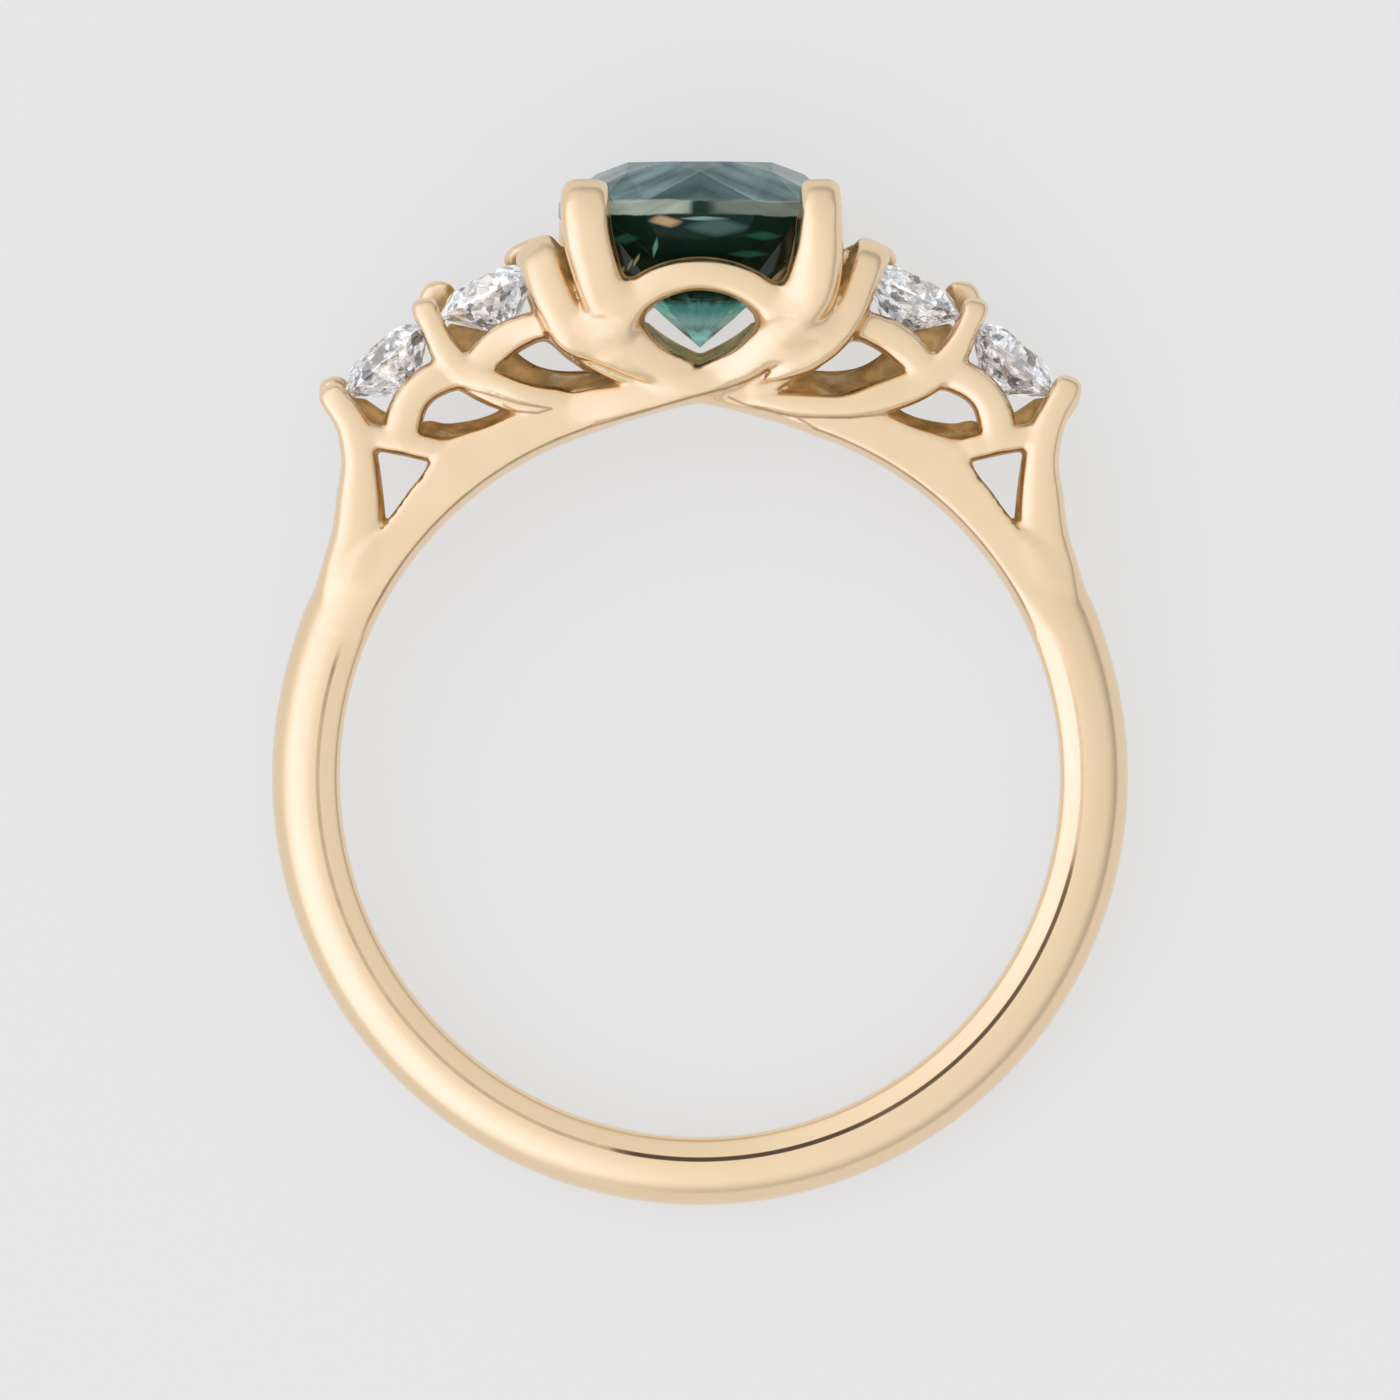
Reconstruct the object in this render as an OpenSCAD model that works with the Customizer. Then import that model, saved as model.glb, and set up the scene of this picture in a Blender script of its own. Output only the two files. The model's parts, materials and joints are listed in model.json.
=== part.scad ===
// Trellis ring with a round sapphire and four round diamonds.
// The ring is drawn with the finger along z, the head towards +y and the front face towards +z.
// lay_on_side() then tips it over so that it rests on the floor by two claws and the shank.

/* [Finger hole] */
// Inner diameter of the ring
bore_d = 16.5; // [16.2:0.1:16.8]
// Width of the straight wall in the middle of the hole
bore_wall = 1.3; // [1.2:0.1:1.4]

/* [Shank] */
// Thickness from the finger outwards
shank_t = 1.56; // [1.5:0.02:1.62]
// Width along the finger
shank_w = 2.04; // [1.98:0.02:2.1]

/* [Sapphire] */
// Diameter across the girdle
sapphire_d = 6.5; // [6.4:0.05:6.55]
// Height of the table over the centre of the finger hole
sapphire_table_y = 14.07; // [14.05:0.01:14.15]

/* [Diamonds] */
// Diameter across the girdle
diamond_d = 2.5; // [2.4:0.05:2.55]

/* [Head] */
// Width of the head along the finger, over the main claws
head_w = 6.54; // [6.5:0.02:6.6]
// Gap between each stone and the metal that holds it
stone_gap = 0.04; // [0.03:0.01:0.05]

/* [Hidden] */

gold = [0.91, 0.78, 0.58];
teal = [0.10, 0.30, 0.28];
icy = [0.92, 0.94, 0.96];

bore_r = bore_d / 2;
head_rise = bore_r - 8.25;

// Round brilliant proportions, as shares of the diameter
cut_table = 0.55;
cut_star = 0.73;
sapphire_cut = [0.142, 0.049, 0.460];
diamond_cut = [0.150, 0.030, 0.430];

// Places of the diamonds' tables on the right, seen along the finger: x, y, slope
diamond_inner = [5.03, 11.44, 26];
diamond_outer = [7.46, 9.87, 41];

// The shank and the rails it runs into, from the bottom round to the top
// angle from the bottom, lift off the finger, thickness, half width, bevel
shank_rows = concat([for (a = [0 : 8 : 96]) [a, 0, 1, 1, 1]], [
    [104, 0, 1.00, 1.00, 1.0],
    [109, 0, 0.99, 1.02, 0.7],
    [114, 0, 0.95, 1.04, 0.4],
    [119, 0, 0.86, 1.05, 0.15],
    [124, 0, 0.72, 1.07, 0],
    [129, 0, 0.62, 1.08, 0],
    [134, 0, 0.70, 1.09, 0],
    [140, 0, 0.80, 1.11, 0],
    [146, 0, 0.88, 1.12, 0],
    [152, 0, 0.92, 1.14, 0],
    [158, 0, 0.94, 1.15, 0],
    [164, 0, 0.90, 1.16, 0],
    [170, 0.06, 0.82, 1.18, 0],
    [175, 0.26, 0.76, 1.20, 0],
    [180, 0.56, 0.60, 1.20, 0]
]);

// Wires on the right of the front face, each from its foot to its end
// x, y, z, width seen along the finger, depth
claw_outer = [
    [8.52, 2.90, 0.20, 1.06, 1.30],
    [8.34, 3.70, 0.28, 1.20, 1.34],
    [8.10, 4.60, 0.36, 1.28, 1.30],
    [7.90, 5.50, 0.44, 1.18, 1.22],
    [7.80, 6.40, 0.55, 1.00, 1.08],
    [7.79, 7.20, 0.67, 0.86, 0.96],
    [7.90, 7.88, 0.76, 0.80, 0.86],
    [8.12, 8.40, 0.78, 0.70, 0.78],
    [8.34, 8.78, 0.75, 0.68, 0.72],
    [8.43, 8.96, 0.66, 0.62, 0.60],
    [8.47, 9.07, 0.54, 0.22, 0.22]
];
foot_bar = [
    [7.80, 7.86, 0.72, 0.56, 0.74],
    [7.25, 7.76, 0.76, 0.54, 0.76],
    [6.70, 7.66, 0.78, 0.58, 0.76],
    [6.16, 7.54, 0.76, 0.70, 0.74],
    [5.60, 7.34, 0.62, 0.60, 0.64]
];
arch_outer = [
    [6.98, 7.42, 0.76, 0.70, 0.74],
    [6.84, 7.80, 0.78, 0.80, 0.76],
    [6.78, 8.20, 0.80, 0.84, 0.76],
    [6.60, 8.64, 0.82, 0.78, 0.76],
    [6.30, 8.96, 0.83, 0.76, 0.76],
    [5.90, 9.18, 0.83, 0.78, 0.74],
    [5.50, 9.26, 0.80, 0.70, 0.66]
];
claw_mid = [
    [3.23, 8.48, 0.84, 0.62, 0.60],
    [4.03, 8.66, 0.88, 0.78, 0.70],
    [4.79, 8.92, 0.90, 0.80, 0.74],
    [5.38, 9.26, 0.90, 0.78, 0.76],
    [5.77, 9.66, 0.89, 0.72, 0.74],
    [5.98, 10.02, 0.88, 0.62, 0.70],
    [6.16, 10.40, 0.87, 0.57, 0.66],
    [6.27, 10.66, 0.84, 0.60, 0.62],
    [6.30, 10.82, 0.74, 0.56, 0.52],
    [6.30, 10.92, 0.62, 0.20, 0.20]
];
claw_mid_back_tip = [
    [6.20, 10.62, 0.84, 0.76, 0.62],
    [6.08, 10.90, 0.74, 0.96, 0.54],
    [6.00, 11.06, 0.60, 0.40, 0.22]
];
// The right front wire runs on along the rail to the crossing
claw_mid_run = [
    [0.62, 8.68, 0.90, 0.16, 0.30],
    [1.20, 8.62, 0.96, 0.44, 0.50],
    [2.18, 8.52, 0.94, 0.60, 0.60]
];
arch_inner = [
    [3.15, 10.28, 0.98, 0.60, 0.70],
    [3.70, 10.32, 0.98, 0.66, 0.74],
    [4.16, 10.17, 0.96, 0.74, 0.76],
    [4.46, 10.00, 0.94, 0.78, 0.76],
    [4.74, 9.78, 0.92, 0.80, 0.76],
    [5.02, 9.50, 0.90, 0.74, 0.74],
    [5.30, 9.20, 0.86, 0.60, 0.66]
];
claw_inner = [
    [1.05, 9.00, 0.98, 0.36, 0.50],
    [1.74, 9.28, 1.08, 0.66, 0.68],
    [2.36, 9.70, 1.18, 0.88, 0.80],
    [2.82, 10.17, 1.24, 0.98, 0.88],
    [3.10, 10.66, 1.24, 0.98, 0.92],
    [3.29, 11.14, 1.20, 0.94, 0.92],
    [3.45, 11.58, 1.12, 0.90, 0.88],
    [3.59, 11.88, 1.02, 0.92, 0.80],
    [3.69, 12.06, 0.88, 0.90, 0.62],
    [3.74, 12.18, 0.72, 0.34, 0.22]
];
claw_inner_back_tip = [
    [3.78, 11.86, 1.00, 1.02, 0.78],
    [3.94, 12.03, 0.88, 1.04, 0.60],
    [4.02, 12.15, 0.72, 0.44, 0.22]
];
claw_main = [
    [0.43, 9.31, 1.28, 0.84, 0.74],
    [1.06, 9.56, 1.42, 0.90, 0.84],
    [1.60, 9.98, 1.66, 0.96, 0.92],
    [2.02, 10.58, 1.97, 1.02, 0.98],
    [2.27, 11.16, 2.22, 1.04, 1.00],
    [2.47, 11.80, 2.45, 1.05, 1.04],
    [2.60, 12.34, 2.62, 1.06, 1.06],
    [2.66, 12.84, 2.73, 1.08, 1.08],
    [2.62, 13.10, 2.68, 1.06, 0.98],
    [2.50, 13.26, 2.54, 0.96, 0.80],
    [2.34, 13.34, 2.36, 0.70, 0.56],
    [2.22, 13.37, 2.22, 0.22, 0.20]
];

// The two strands that cross under the sapphire, each running on from a main claw to the far rail
strand_over = [
    [-3.20, 8.36, 0.90, 0.70, 0.50],
    [-2.50, 8.60, 0.98, 0.80, 0.60],
    [-1.71, 8.78, 1.08, 0.88, 0.68],
    [-0.86, 8.94, 1.16, 0.90, 0.72],
    [-0.21, 9.11, 1.22, 0.88, 0.74]
];
strand_under = [
    [-3.20, 8.30, 0.82, 0.70, 0.50],
    [-2.50, 8.52, 0.88, 0.78, 0.56],
    [-1.71, 8.70, 0.92, 0.80, 0.60],
    [-0.86, 8.86, 0.96, 0.80, 0.60],
    [-0.21, 9.06, 1.04, 0.80, 0.60]
];

// The arch between the two front claws, right half, and the cradle under the culet
arch_main = [
    [0.00, 11.50, 2.34, 0.77, 0.78],
    [0.70, 11.39, 2.31, 0.78, 0.78],
    [1.30, 11.10, 2.24, 0.80, 0.78],
    [1.74, 10.70, 2.12, 0.82, 0.76],
    [2.00, 10.30, 1.98, 0.70, 0.70]
];
cradle = [
    [0.00, 9.40, 0, 0.62, 2.50],
    [0.50, 9.56, 0, 0.62, 2.60],
    [1.00, 9.84, 0, 0.58, 2.90],
    [1.40, 10.20, 0, 0.50, 3.20]
];

function spline(a, b, c, d, t) =
    0.5 * (2 * b + (c - a) * t + (2 * a - 5 * b + 4 * c - d) * t * t
        + (3 * b - a - 3 * c + d) * t * t * t);

// Rows between the rows of a table, so that a path runs smoothly through it
function smooth(rows, steps) = let (n = len(rows) - 1) [
    for (i = [0 : n - 1]) for (k = [0 : steps - 1])
        spline(rows[max(i - 1, 0)], rows[i], rows[i + 1], rows[min(i + 2, n)], k / steps),
    rows[n]
];

// A table and its mirror image on the left, as one path from left to right
function both_sides(rows) = concat(
    [for (i = [len(rows) - 1 : -1 : 1])
        [for (c = [0 : 4]) c == 0 ? -rows[i][0] : rows[i][c]]],
    rows);

function flat_power(v, p) = sign(v) * pow(abs(v), p);
function unit(v) = v / norm(v);

// A closed skin over rings of points, with a fan over each end
module skin(rings, closed = false) {
    n = len(rings);
    m = len(rings[0]);
    last = closed ? n - 1 : n - 2;
    points = [for (ring = rings) for (p = ring) p];
    sides = [for (i = [0 : last]) for (k = [0 : m - 1]) let (
        a = i * m + k, b = i * m + (k + 1) % m,
        c = ((i + 1) % n) * m + (k + 1) % m, d = ((i + 1) % n) * m + k)
        each [[a, c, b], [a, d, c]]];
    ends = closed ? [] : [[for (k = [0 : m - 1]) k], [for (k = [m - 1 : -1 : 0]) (n - 1) * m + k]];
    polyhedron(points, concat(sides, ends));
}

// A wire with a soft square section that follows a table
module wire(rows, sides = 10, steps = 1) {
    path = smooth(rows, steps);
    n = len(path) - 1;
    skin([for (i = [0 : n]) let (
        here = path[i],
        before = path[max(i - 1, 0)],
        after = path[min(i + 1, n)],
        along = unit([for (c = [0 : 2]) after[c] - before[c]]),
        across = unit(cross([0, 0, 1], along)),
        up = cross(along, across)
    ) [for (k = [0 : sides - 1]) let (a = 360 * (k + 0.5) / sides)
        [here[0], here[1], here[2]]
        + across * here[3] / 2 * flat_power(cos(a), 0.72)
        + up * here[4] / 2 * flat_power(sin(a), 0.72)
    ]]);
}

// Half of the shank's section: distance out from the finger, distance from the middle
function shank_half(t, w, bevel) = [
    [-0.25, w * 0.60],
    [0.13, w * mix(0.90, 0.84, bevel)],
    [mix(0.22, 0.48, bevel), w * mix(0.98, 0.985, bevel)],
    [t * 0.54, w],
    [t * 0.74, w * 0.91],
    [t * 0.90, w * 0.68],
    [t * 0.98, w * 0.35],
    [t, 0]
];
function mix(a, b, share) = a + (b - a) * share;

module shank() {
    all_rows = concat(shank_rows, [for (i = [len(shank_rows) - 2 : -1 : 1])
        [for (c = [0 : 4]) c == 0 ? 360 - shank_rows[i][0] : shank_rows[i][c]]]);
    skin([for (row = all_rows) let (
        section = shank_half(shank_t * row[2], shank_w / 2 * row[3], row[4]),
        full = concat(section, [for (i = [len(section) - 2 : -1 : 0]) [section[i][0], -section[i][1]]])
    ) [for (p = full) let (r = bore_r + row[1] + p[0])
        [r * sin(row[0]), -r * cos(row[0]), p[1]]]], closed = true);
}

// A wire's table with its last rows changed for another tip
function retip(rows, tip) = concat([for (i = [0 : len(rows) - len(tip) - 1]) rows[i]], tip);

module face_wires(back) {
    for (side = [0, 1]) mirror([side, 0, 0]) {
        wire(claw_outer);
        wire(foot_bar);
        wire(arch_outer);
        wire(concat(side == 0 ? claw_mid_run : [], back ? retip(claw_mid, claw_mid_back_tip) : claw_mid));
        wire(arch_inner);
        wire(back ? retip(claw_inner, claw_inner_back_tip) : claw_inner);
        wire(concat(side == 0 ? strand_over : strand_under, claw_main));
    }
    wire(both_sides(arch_main));
}

module trellis() {
    translate([0, head_rise, 0]) {
        face_wires(back = false);
        rotate([0, 180, 0]) face_wires(back = true);
        wire(both_sides(cradle));
    }
}

// Places a stone that is drawn with its table up and at z = 0
module set_stone(place, roll = 0) {
    translate([place[0], place[1] + head_rise, 0])
        rotate([0, 0, -place[2]]) rotate([-90, 0, 0]) rotate([0, 0, roll]) children();
}

// The round hollow that a stone needs in the claws
module seat(d, cut) {
    r = d / 2 + stone_gap;
    crown = cut[0] * d;
    girdle = cut[1] * d;
    rotate_extrude($fn = 48) polygon([
        [0, 0.6], [r * cut_table, 0.6], [r * cut_table, 1.6 * stone_gap],
        [r, -crown + 1.6 * stone_gap], [r, -crown - girdle - stone_gap],
        [0, -crown - girdle - cut[2] * d - 2 * stone_gap]
    ]);
}

// Round brilliant cut: table, stars, kites, upper halves, girdle, lower halves and mains
module brilliant(d, cut) {
    r = d / 2;
    table_r = r * cut_table;
    star_r = r * cut_star;
    crown = cut[0] * d;
    girdle = cut[1] * d;
    pavilion = cut[2] * d;
    kite_slope = crown / (r - table_r);
    star_z = -(star_r * cos(22.5) - table_r) * kite_slope;
    low_r = r * 0.24;
    low_z = -crown - girdle - pavilion * (1 - low_r * cos(22.5) / r);
    table = [for (k = [0 : 7]) [table_r * cos(45 * k), table_r * sin(45 * k), 0]];
    star = [for (k = [0 : 7]) [star_r * cos(45 * k + 22.5), star_r * sin(45 * k + 22.5), star_z]];
    top = [for (k = [0 : 15]) [r * cos(22.5 * k), r * sin(22.5 * k), -crown]];
    base = [for (k = [0 : 15]) [r * cos(22.5 * k), r * sin(22.5 * k), -crown - girdle]];
    low = [for (k = [0 : 7]) [low_r * cos(45 * k + 22.5), low_r * sin(45 * k + 22.5), low_z]];
    points = concat(table, star, top, base, low, [[0, 0, -crown - girdle - pavilion]]);
    faces = concat(
        [[7, 6, 5, 4, 3, 2, 1, 0]],
        [for (k = [0 : 7]) let (n = (k + 1) % 8, p = (k + 7) % 8) each [
            [k, n, 8 + k],
            [k, 8 + k, 16 + 2 * k], [k, 16 + 2 * k, 8 + p],
            [8 + k, 17 + 2 * k, 16 + 2 * k], [8 + k, 16 + 2 * n, 17 + 2 * k],
            [32 + 2 * k, 33 + 2 * k, 48 + k], [33 + 2 * k, 32 + 2 * n, 48 + k],
            [32 + 2 * k, 48 + k, 56], [32 + 2 * k, 56, 48 + p]
        ]],
        [for (k = [0 : 15]) let (n = (k + 1) % 16) each [
            [16 + k, 16 + n, 32 + n], [16 + k, 32 + n, 32 + k]
        ]]
    );
    polyhedron(points, faces);
}

// The hollow for the finger: a straight wall in the middle that opens out to both faces
module finger_hole() {
    cylinder(h = 8, r = bore_r, center = true, $fn = 96);
    for (end = [0, 1]) mirror([0, 0, end])
        translate([0, 0, bore_wall / 2])
            cylinder(h = 1.2, r1 = bore_r, r2 = bore_r + 0.30, $fn = 96);
}

// Half depths of the points that touch the floor and how far they lie from the finger's axis
claw_touch = [head_w / 2, 12.8 + head_rise];
shank_touch = [shank_w / 2, -(bore_r + shank_t * 0.54)];
lean = atan((claw_touch[0] - shank_touch[0]) / (claw_touch[1] - shank_touch[1]));
lift = claw_touch[0] * cos(lean) - claw_touch[1] * sin(lean);
// The box round the ring is centred on the origin along y
top_y = (sapphire_table_y + head_rise) * cos(lean) + sapphire_d / 2 * cut_table * cos(22.5) * sin(lean);
low_y = (bore_r + shank_t) * cos(lean);
slide_y = (low_y - top_y) / 2;

module lay_on_side() {
    translate([0, slide_y, lift]) rotate([lean, 0, 0]) children();
}

sapphire_place = [0, sapphire_table_y, 0];
function left(place) = [-place[0], place[1], -place[2]];

module mount() {
    color(gold) lay_on_side() difference() {
        resize([0, 0, head_w]) difference() {
            union() {
                shank();
                trellis();
            }
            set_stone(sapphire_place) seat(sapphire_d, sapphire_cut);
            for (place = [diamond_inner, left(diamond_inner), diamond_outer, left(diamond_outer)])
                set_stone(place) seat(diamond_d, diamond_cut);
        }
        finger_hole();
    }
}

module sapphire() {
    color(teal) lay_on_side() set_stone(sapphire_place, 22.5) brilliant(sapphire_d, sapphire_cut);
}

module diamond(place, roll) {
    color(icy) lay_on_side() set_stone(place, roll) brilliant(diamond_d, diamond_cut);
}

module diamond_inner_left() { diamond(left(diamond_inner), 12); }
module diamond_inner_right() { diamond(diamond_inner, 31); }
module diamond_outer_left() { diamond(left(diamond_outer), 5); }
module diamond_outer_right() { diamond(diamond_outer, 38); }

mount();
sapphire();
diamond_inner_left();
diamond_inner_right();
diamond_outer_left();
diamond_outer_right();
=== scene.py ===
import json
import math

import bmesh
import bpy
import numpy as np
import openvdb
from mathutils import Matrix, Vector


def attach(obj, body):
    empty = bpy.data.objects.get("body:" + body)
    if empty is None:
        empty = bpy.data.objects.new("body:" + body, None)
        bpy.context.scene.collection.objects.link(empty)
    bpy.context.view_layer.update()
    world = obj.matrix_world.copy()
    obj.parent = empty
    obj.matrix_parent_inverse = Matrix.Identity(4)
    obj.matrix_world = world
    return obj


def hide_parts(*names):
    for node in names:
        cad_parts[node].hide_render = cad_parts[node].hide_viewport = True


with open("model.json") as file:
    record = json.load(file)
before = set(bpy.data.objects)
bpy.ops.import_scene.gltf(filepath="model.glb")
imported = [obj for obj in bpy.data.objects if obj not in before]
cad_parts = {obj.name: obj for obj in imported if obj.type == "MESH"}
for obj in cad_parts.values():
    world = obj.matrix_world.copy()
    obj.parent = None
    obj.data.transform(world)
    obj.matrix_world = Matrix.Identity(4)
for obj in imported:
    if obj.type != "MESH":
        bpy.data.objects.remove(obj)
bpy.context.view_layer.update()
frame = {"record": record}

# Everything is drawn in millimetres with the finger along z and the head towards +y, and
# ringToRow lays it on its side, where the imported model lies.
fingerMount = frame["record"]["mounts"][0]
lean = math.atan2(-fingerMount["axis"][1], fingerMount["axis"][2])
ringToRow = (Matrix.Translation(fingerMount["pos_m"]) @ Matrix.Rotation(lean, 4, "X")
             @ Matrix.Scale(0.001, 4))

cameraView = {
    "aim": (0.0, 1.764),  # point of the ring's middle plane at the frame's centre
    "distance": 600.0,  # far off, so that the finger hole is seen straight through
    "frameWidth": 32.08,  # millimetres across the picture
    "sensor": 36.0,
    "clip": (0.01, 20.0),  # metres
}


def linked(name, data):
    thing = bpy.data.objects.new(name, data)
    bpy.context.scene.collection.objects.link(thing)
    return thing


def addCamera():
    data = bpy.data.cameras.new("camera")
    data.sensor_width = cameraView["sensor"]
    data.lens = cameraView["sensor"] * cameraView["distance"] / cameraView["frameWidth"]
    data.clip_start, data.clip_end = cameraView["clip"]
    camera = linked("camera", data)
    place = ringToRow @ Vector((*cameraView["aim"], cameraView["distance"]))
    camera.matrix_world = Matrix.Translation(place) @ Matrix.Rotation(lean, 4, "X")
    bpy.context.scene.camera = camera


addCamera()
print("camera placed over the ring")


# Shader maths: a Value is one socket, and Python's operators on it add Math nodes.
class Value:
    def __init__(self, graph, socket):
        self.graph = graph
        self.socket = socket

    def maths(self, operation, *others):
        inputs = dict(enumerate((self,) + others))
        return self.graph.add("ShaderNodeMath", {"operation": operation}, inputs)

    def __add__(self, other):
        return self.maths("ADD", other)

    def __sub__(self, other):
        return self.maths("SUBTRACT", other)

    def __rsub__(self, other):
        return self.graph.add("ShaderNodeMath", {"operation": "SUBTRACT"}, {0: other, 1: self})

    def __mul__(self, other):
        return self.maths("MULTIPLY", other)

    __radd__ = __add__
    __rmul__ = __mul__

    def __pow__(self, other):
        return self.maths("POWER", other)

    def __abs__(self):
        return self.maths("ABSOLUTE")

    def between(self, low, high):
        return self.graph.add("ShaderNodeClamp", {}, {0: self, 1: low, 2: high})


class Graph:
    def __init__(self, owner):
        self.owner = owner
        owner.use_nodes = True
        self.tree = owner.node_tree
        self.tree.nodes.clear()

    def add(self, kind, settings=None, sockets=None, out=0):
        node = self.tree.nodes.new(kind)
        for key, setting in (settings or {}).items():
            setattr(node, key, setting)
        for key, given in (sockets or {}).items():
            if isinstance(given, Value):
                self.tree.links.new(given.socket, node.inputs[key])
            elif isinstance(given, tuple):
                node.inputs[key].default_value = given + (1,)  # a colour
            else:
                node.inputs[key].default_value = given
        return Value(self, node.outputs[out]) if node.outputs else None

    def attribute(self, name, out=2):
        return self.add("ShaderNodeAttribute", {"attribute_name": name}, {}, out)

    def split(self, vector):
        parts = self.add("ShaderNodeSeparateXYZ", {}, {0: vector}).socket.node.outputs
        return [Value(self, part) for part in parts]

    def rise(self, value, low, high):
        stops = {0: value, 1: low, 2: high}
        return self.add("ShaderNodeMapRange", {"interpolation_type": "SMOOTHSTEP"}, stops)

    def noise(self, place, scale, detail):
        return self.add("ShaderNodeTexNoise", {}, {"Vector": place, "Scale": scale, "Detail": detail})

    def mixColour(self, share, first, second):
        return self.add("ShaderNodeMix", {"data_type": "RGBA"}, {0: share, 6: first, 7: second}, 2)

    def mixShader(self, share, first, second):
        return self.add("ShaderNodeMixShader", {}, {0: share, 1: first, 2: second})

    def principled(self, sockets):
        return self.add("ShaderNodeBsdfPrincipled", {}, sockets)

    def finish(self, surface, volume=None):
        kind = "World" if isinstance(self.owner, bpy.types.World) else "Material"
        inside = {"Volume": volume} if volume else {}
        self.add("ShaderNodeOutput" + kind, {}, {"Surface": surface} | inside)
        return self.owner


# Mesh tools
def smoothRows(rows, steps):
    rows = np.array(rows, float)
    last = len(rows) - 1
    path = []
    for i in range(last):
        a, b, c, d = rows[max(i - 1, 0)], rows[i], rows[i + 1], rows[min(i + 2, last)]
        for t in np.arange(steps) / steps:
            path.append(0.5 * (2 * b + (c - a) * t + (2 * a - 5 * b + 4 * c - d) * t ** 2
                               + (3 * b - a - 3 * c + d) * t ** 3))
    path.append(rows[last])
    return np.array(path)


def tube(rings):
    rings = np.array(rings)
    count, around = rings.shape[:2]
    faces = []
    for i in range(count - 1):
        here, ahead = i * around, (i + 1) * around
        for k in range(around):
            turn = (k + 1) % around
            faces.append((here + k, here + turn, ahead + turn, ahead + k))
    return rings.reshape(-1, 3), faces


def meshVectors(mesh, kind):
    vectors = np.empty(len(mesh.vertices) * 3)
    mesh.vertices.foreach_get(kind, vectors)
    return vectors.reshape(-1, 3)


def sliced(bm, point, outward, dist=0):
    geometry = bm.verts[:] + bm.edges[:] + bm.faces[:]
    return bmesh.ops.bisect_plane(bm, geom=geometry, dist=dist, plane_co=point, plane_no=outward,
                                  clear_outer=True)


def addLayer(mesh, name, values, kind="FLOAT", domain="POINT"):
    field = "vector" if kind == "FLOAT_VECTOR" else "value"
    layer = mesh.attributes.new(name, kind, domain)
    layer.data.foreach_set(field, np.array(values).ravel())


def valueAt(table, x):
    # The table's rows are pairs: where, how much
    return np.interp(x, *zip(*table))


def decimated(mesh, share):
    draft = linked("draft", mesh)
    draft.modifiers.new("fewer", "DECIMATE").ratio = share
    ready = draft.evaluated_get(bpy.context.evaluated_depsgraph_get())
    result = bpy.data.meshes.new_from_object(ready)
    bpy.data.objects.remove(draft)
    return result


def relax(mesh, rounds):
    # Pulls in and pushes out by turns, so that thin wires keep their thickness
    edges = np.empty(len(mesh.edges) * 2, int)
    mesh.edges.foreach_get("vertices", edges)
    first, second = edges.reshape(-1, 2).T
    points = meshVectors(mesh, "co")
    degree = np.maximum(np.bincount(edges, minlength=len(points)), 1)
    for _ in range(rounds):
        for share in mount["relax"]:
            for axis in range(3):
                column = points[:, axis]
                mean = (np.bincount(first, column[second], len(points))
                        + np.bincount(second, column[first], len(points))) / degree
                points[:, axis] += share * (mean - column)
    mesh.vertices.foreach_set("co", points.ravel())
    mesh.update()


# The mount: band, rails and the woven trellis at the front and the back.
mount = {
    "boreRadius": 8.25,
    "headFrom": 112,  # the band's own mesh ends here, in degrees from the bottom
    "bandGap": 0.35,  # degrees between band and head, which the bridge closes
    "bandRings": 260,
    "rowSteps": 8,  # steps from one row of a table to the next
    "wireSteps": 8,
    "thinnest": 0.04,
    "wirePower": 2.9,  # 2 is an oval wire, more is squarer
    "stoneGap": 0.04,
    "fillet": 0.11,  # how far two wires flow into each other
    "headFillet": 0.34,  # the same for the four main claws and their arch
    "seam": 0.035,  # the same where a line stays between them
    "relax": (0.6, -0.58),
    "triangles": 160000,
    # where the claws run into their strands: middle and half size of the evened regions
    "evened": [((-2.25, 9.95, 2.2), (0.75, 0.65, 1.0)), ((1.95, 9.95, 2.1), (0.75, 0.65, 1.0))],
    "evenRounds": 30,
}
# How far single wires flow into the rest
fillets = {
    "clawFlank": 0.4, "clawWebUnder": 0.1, "archFoot": 0.25, "pocket": 0.2, "leafStrip": 0.02,
    "cradle": 0.12, "walls": 0.45,
}
# Where the field holds the shank's upper ends
rail = {
    "box": ((-9.7, 1.9, -1.3), (9.7, 10.4, 1.3)), "spare": 0.4, "inside": -0.4, "outside": 2.4,
    "from": 102,
}
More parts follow.
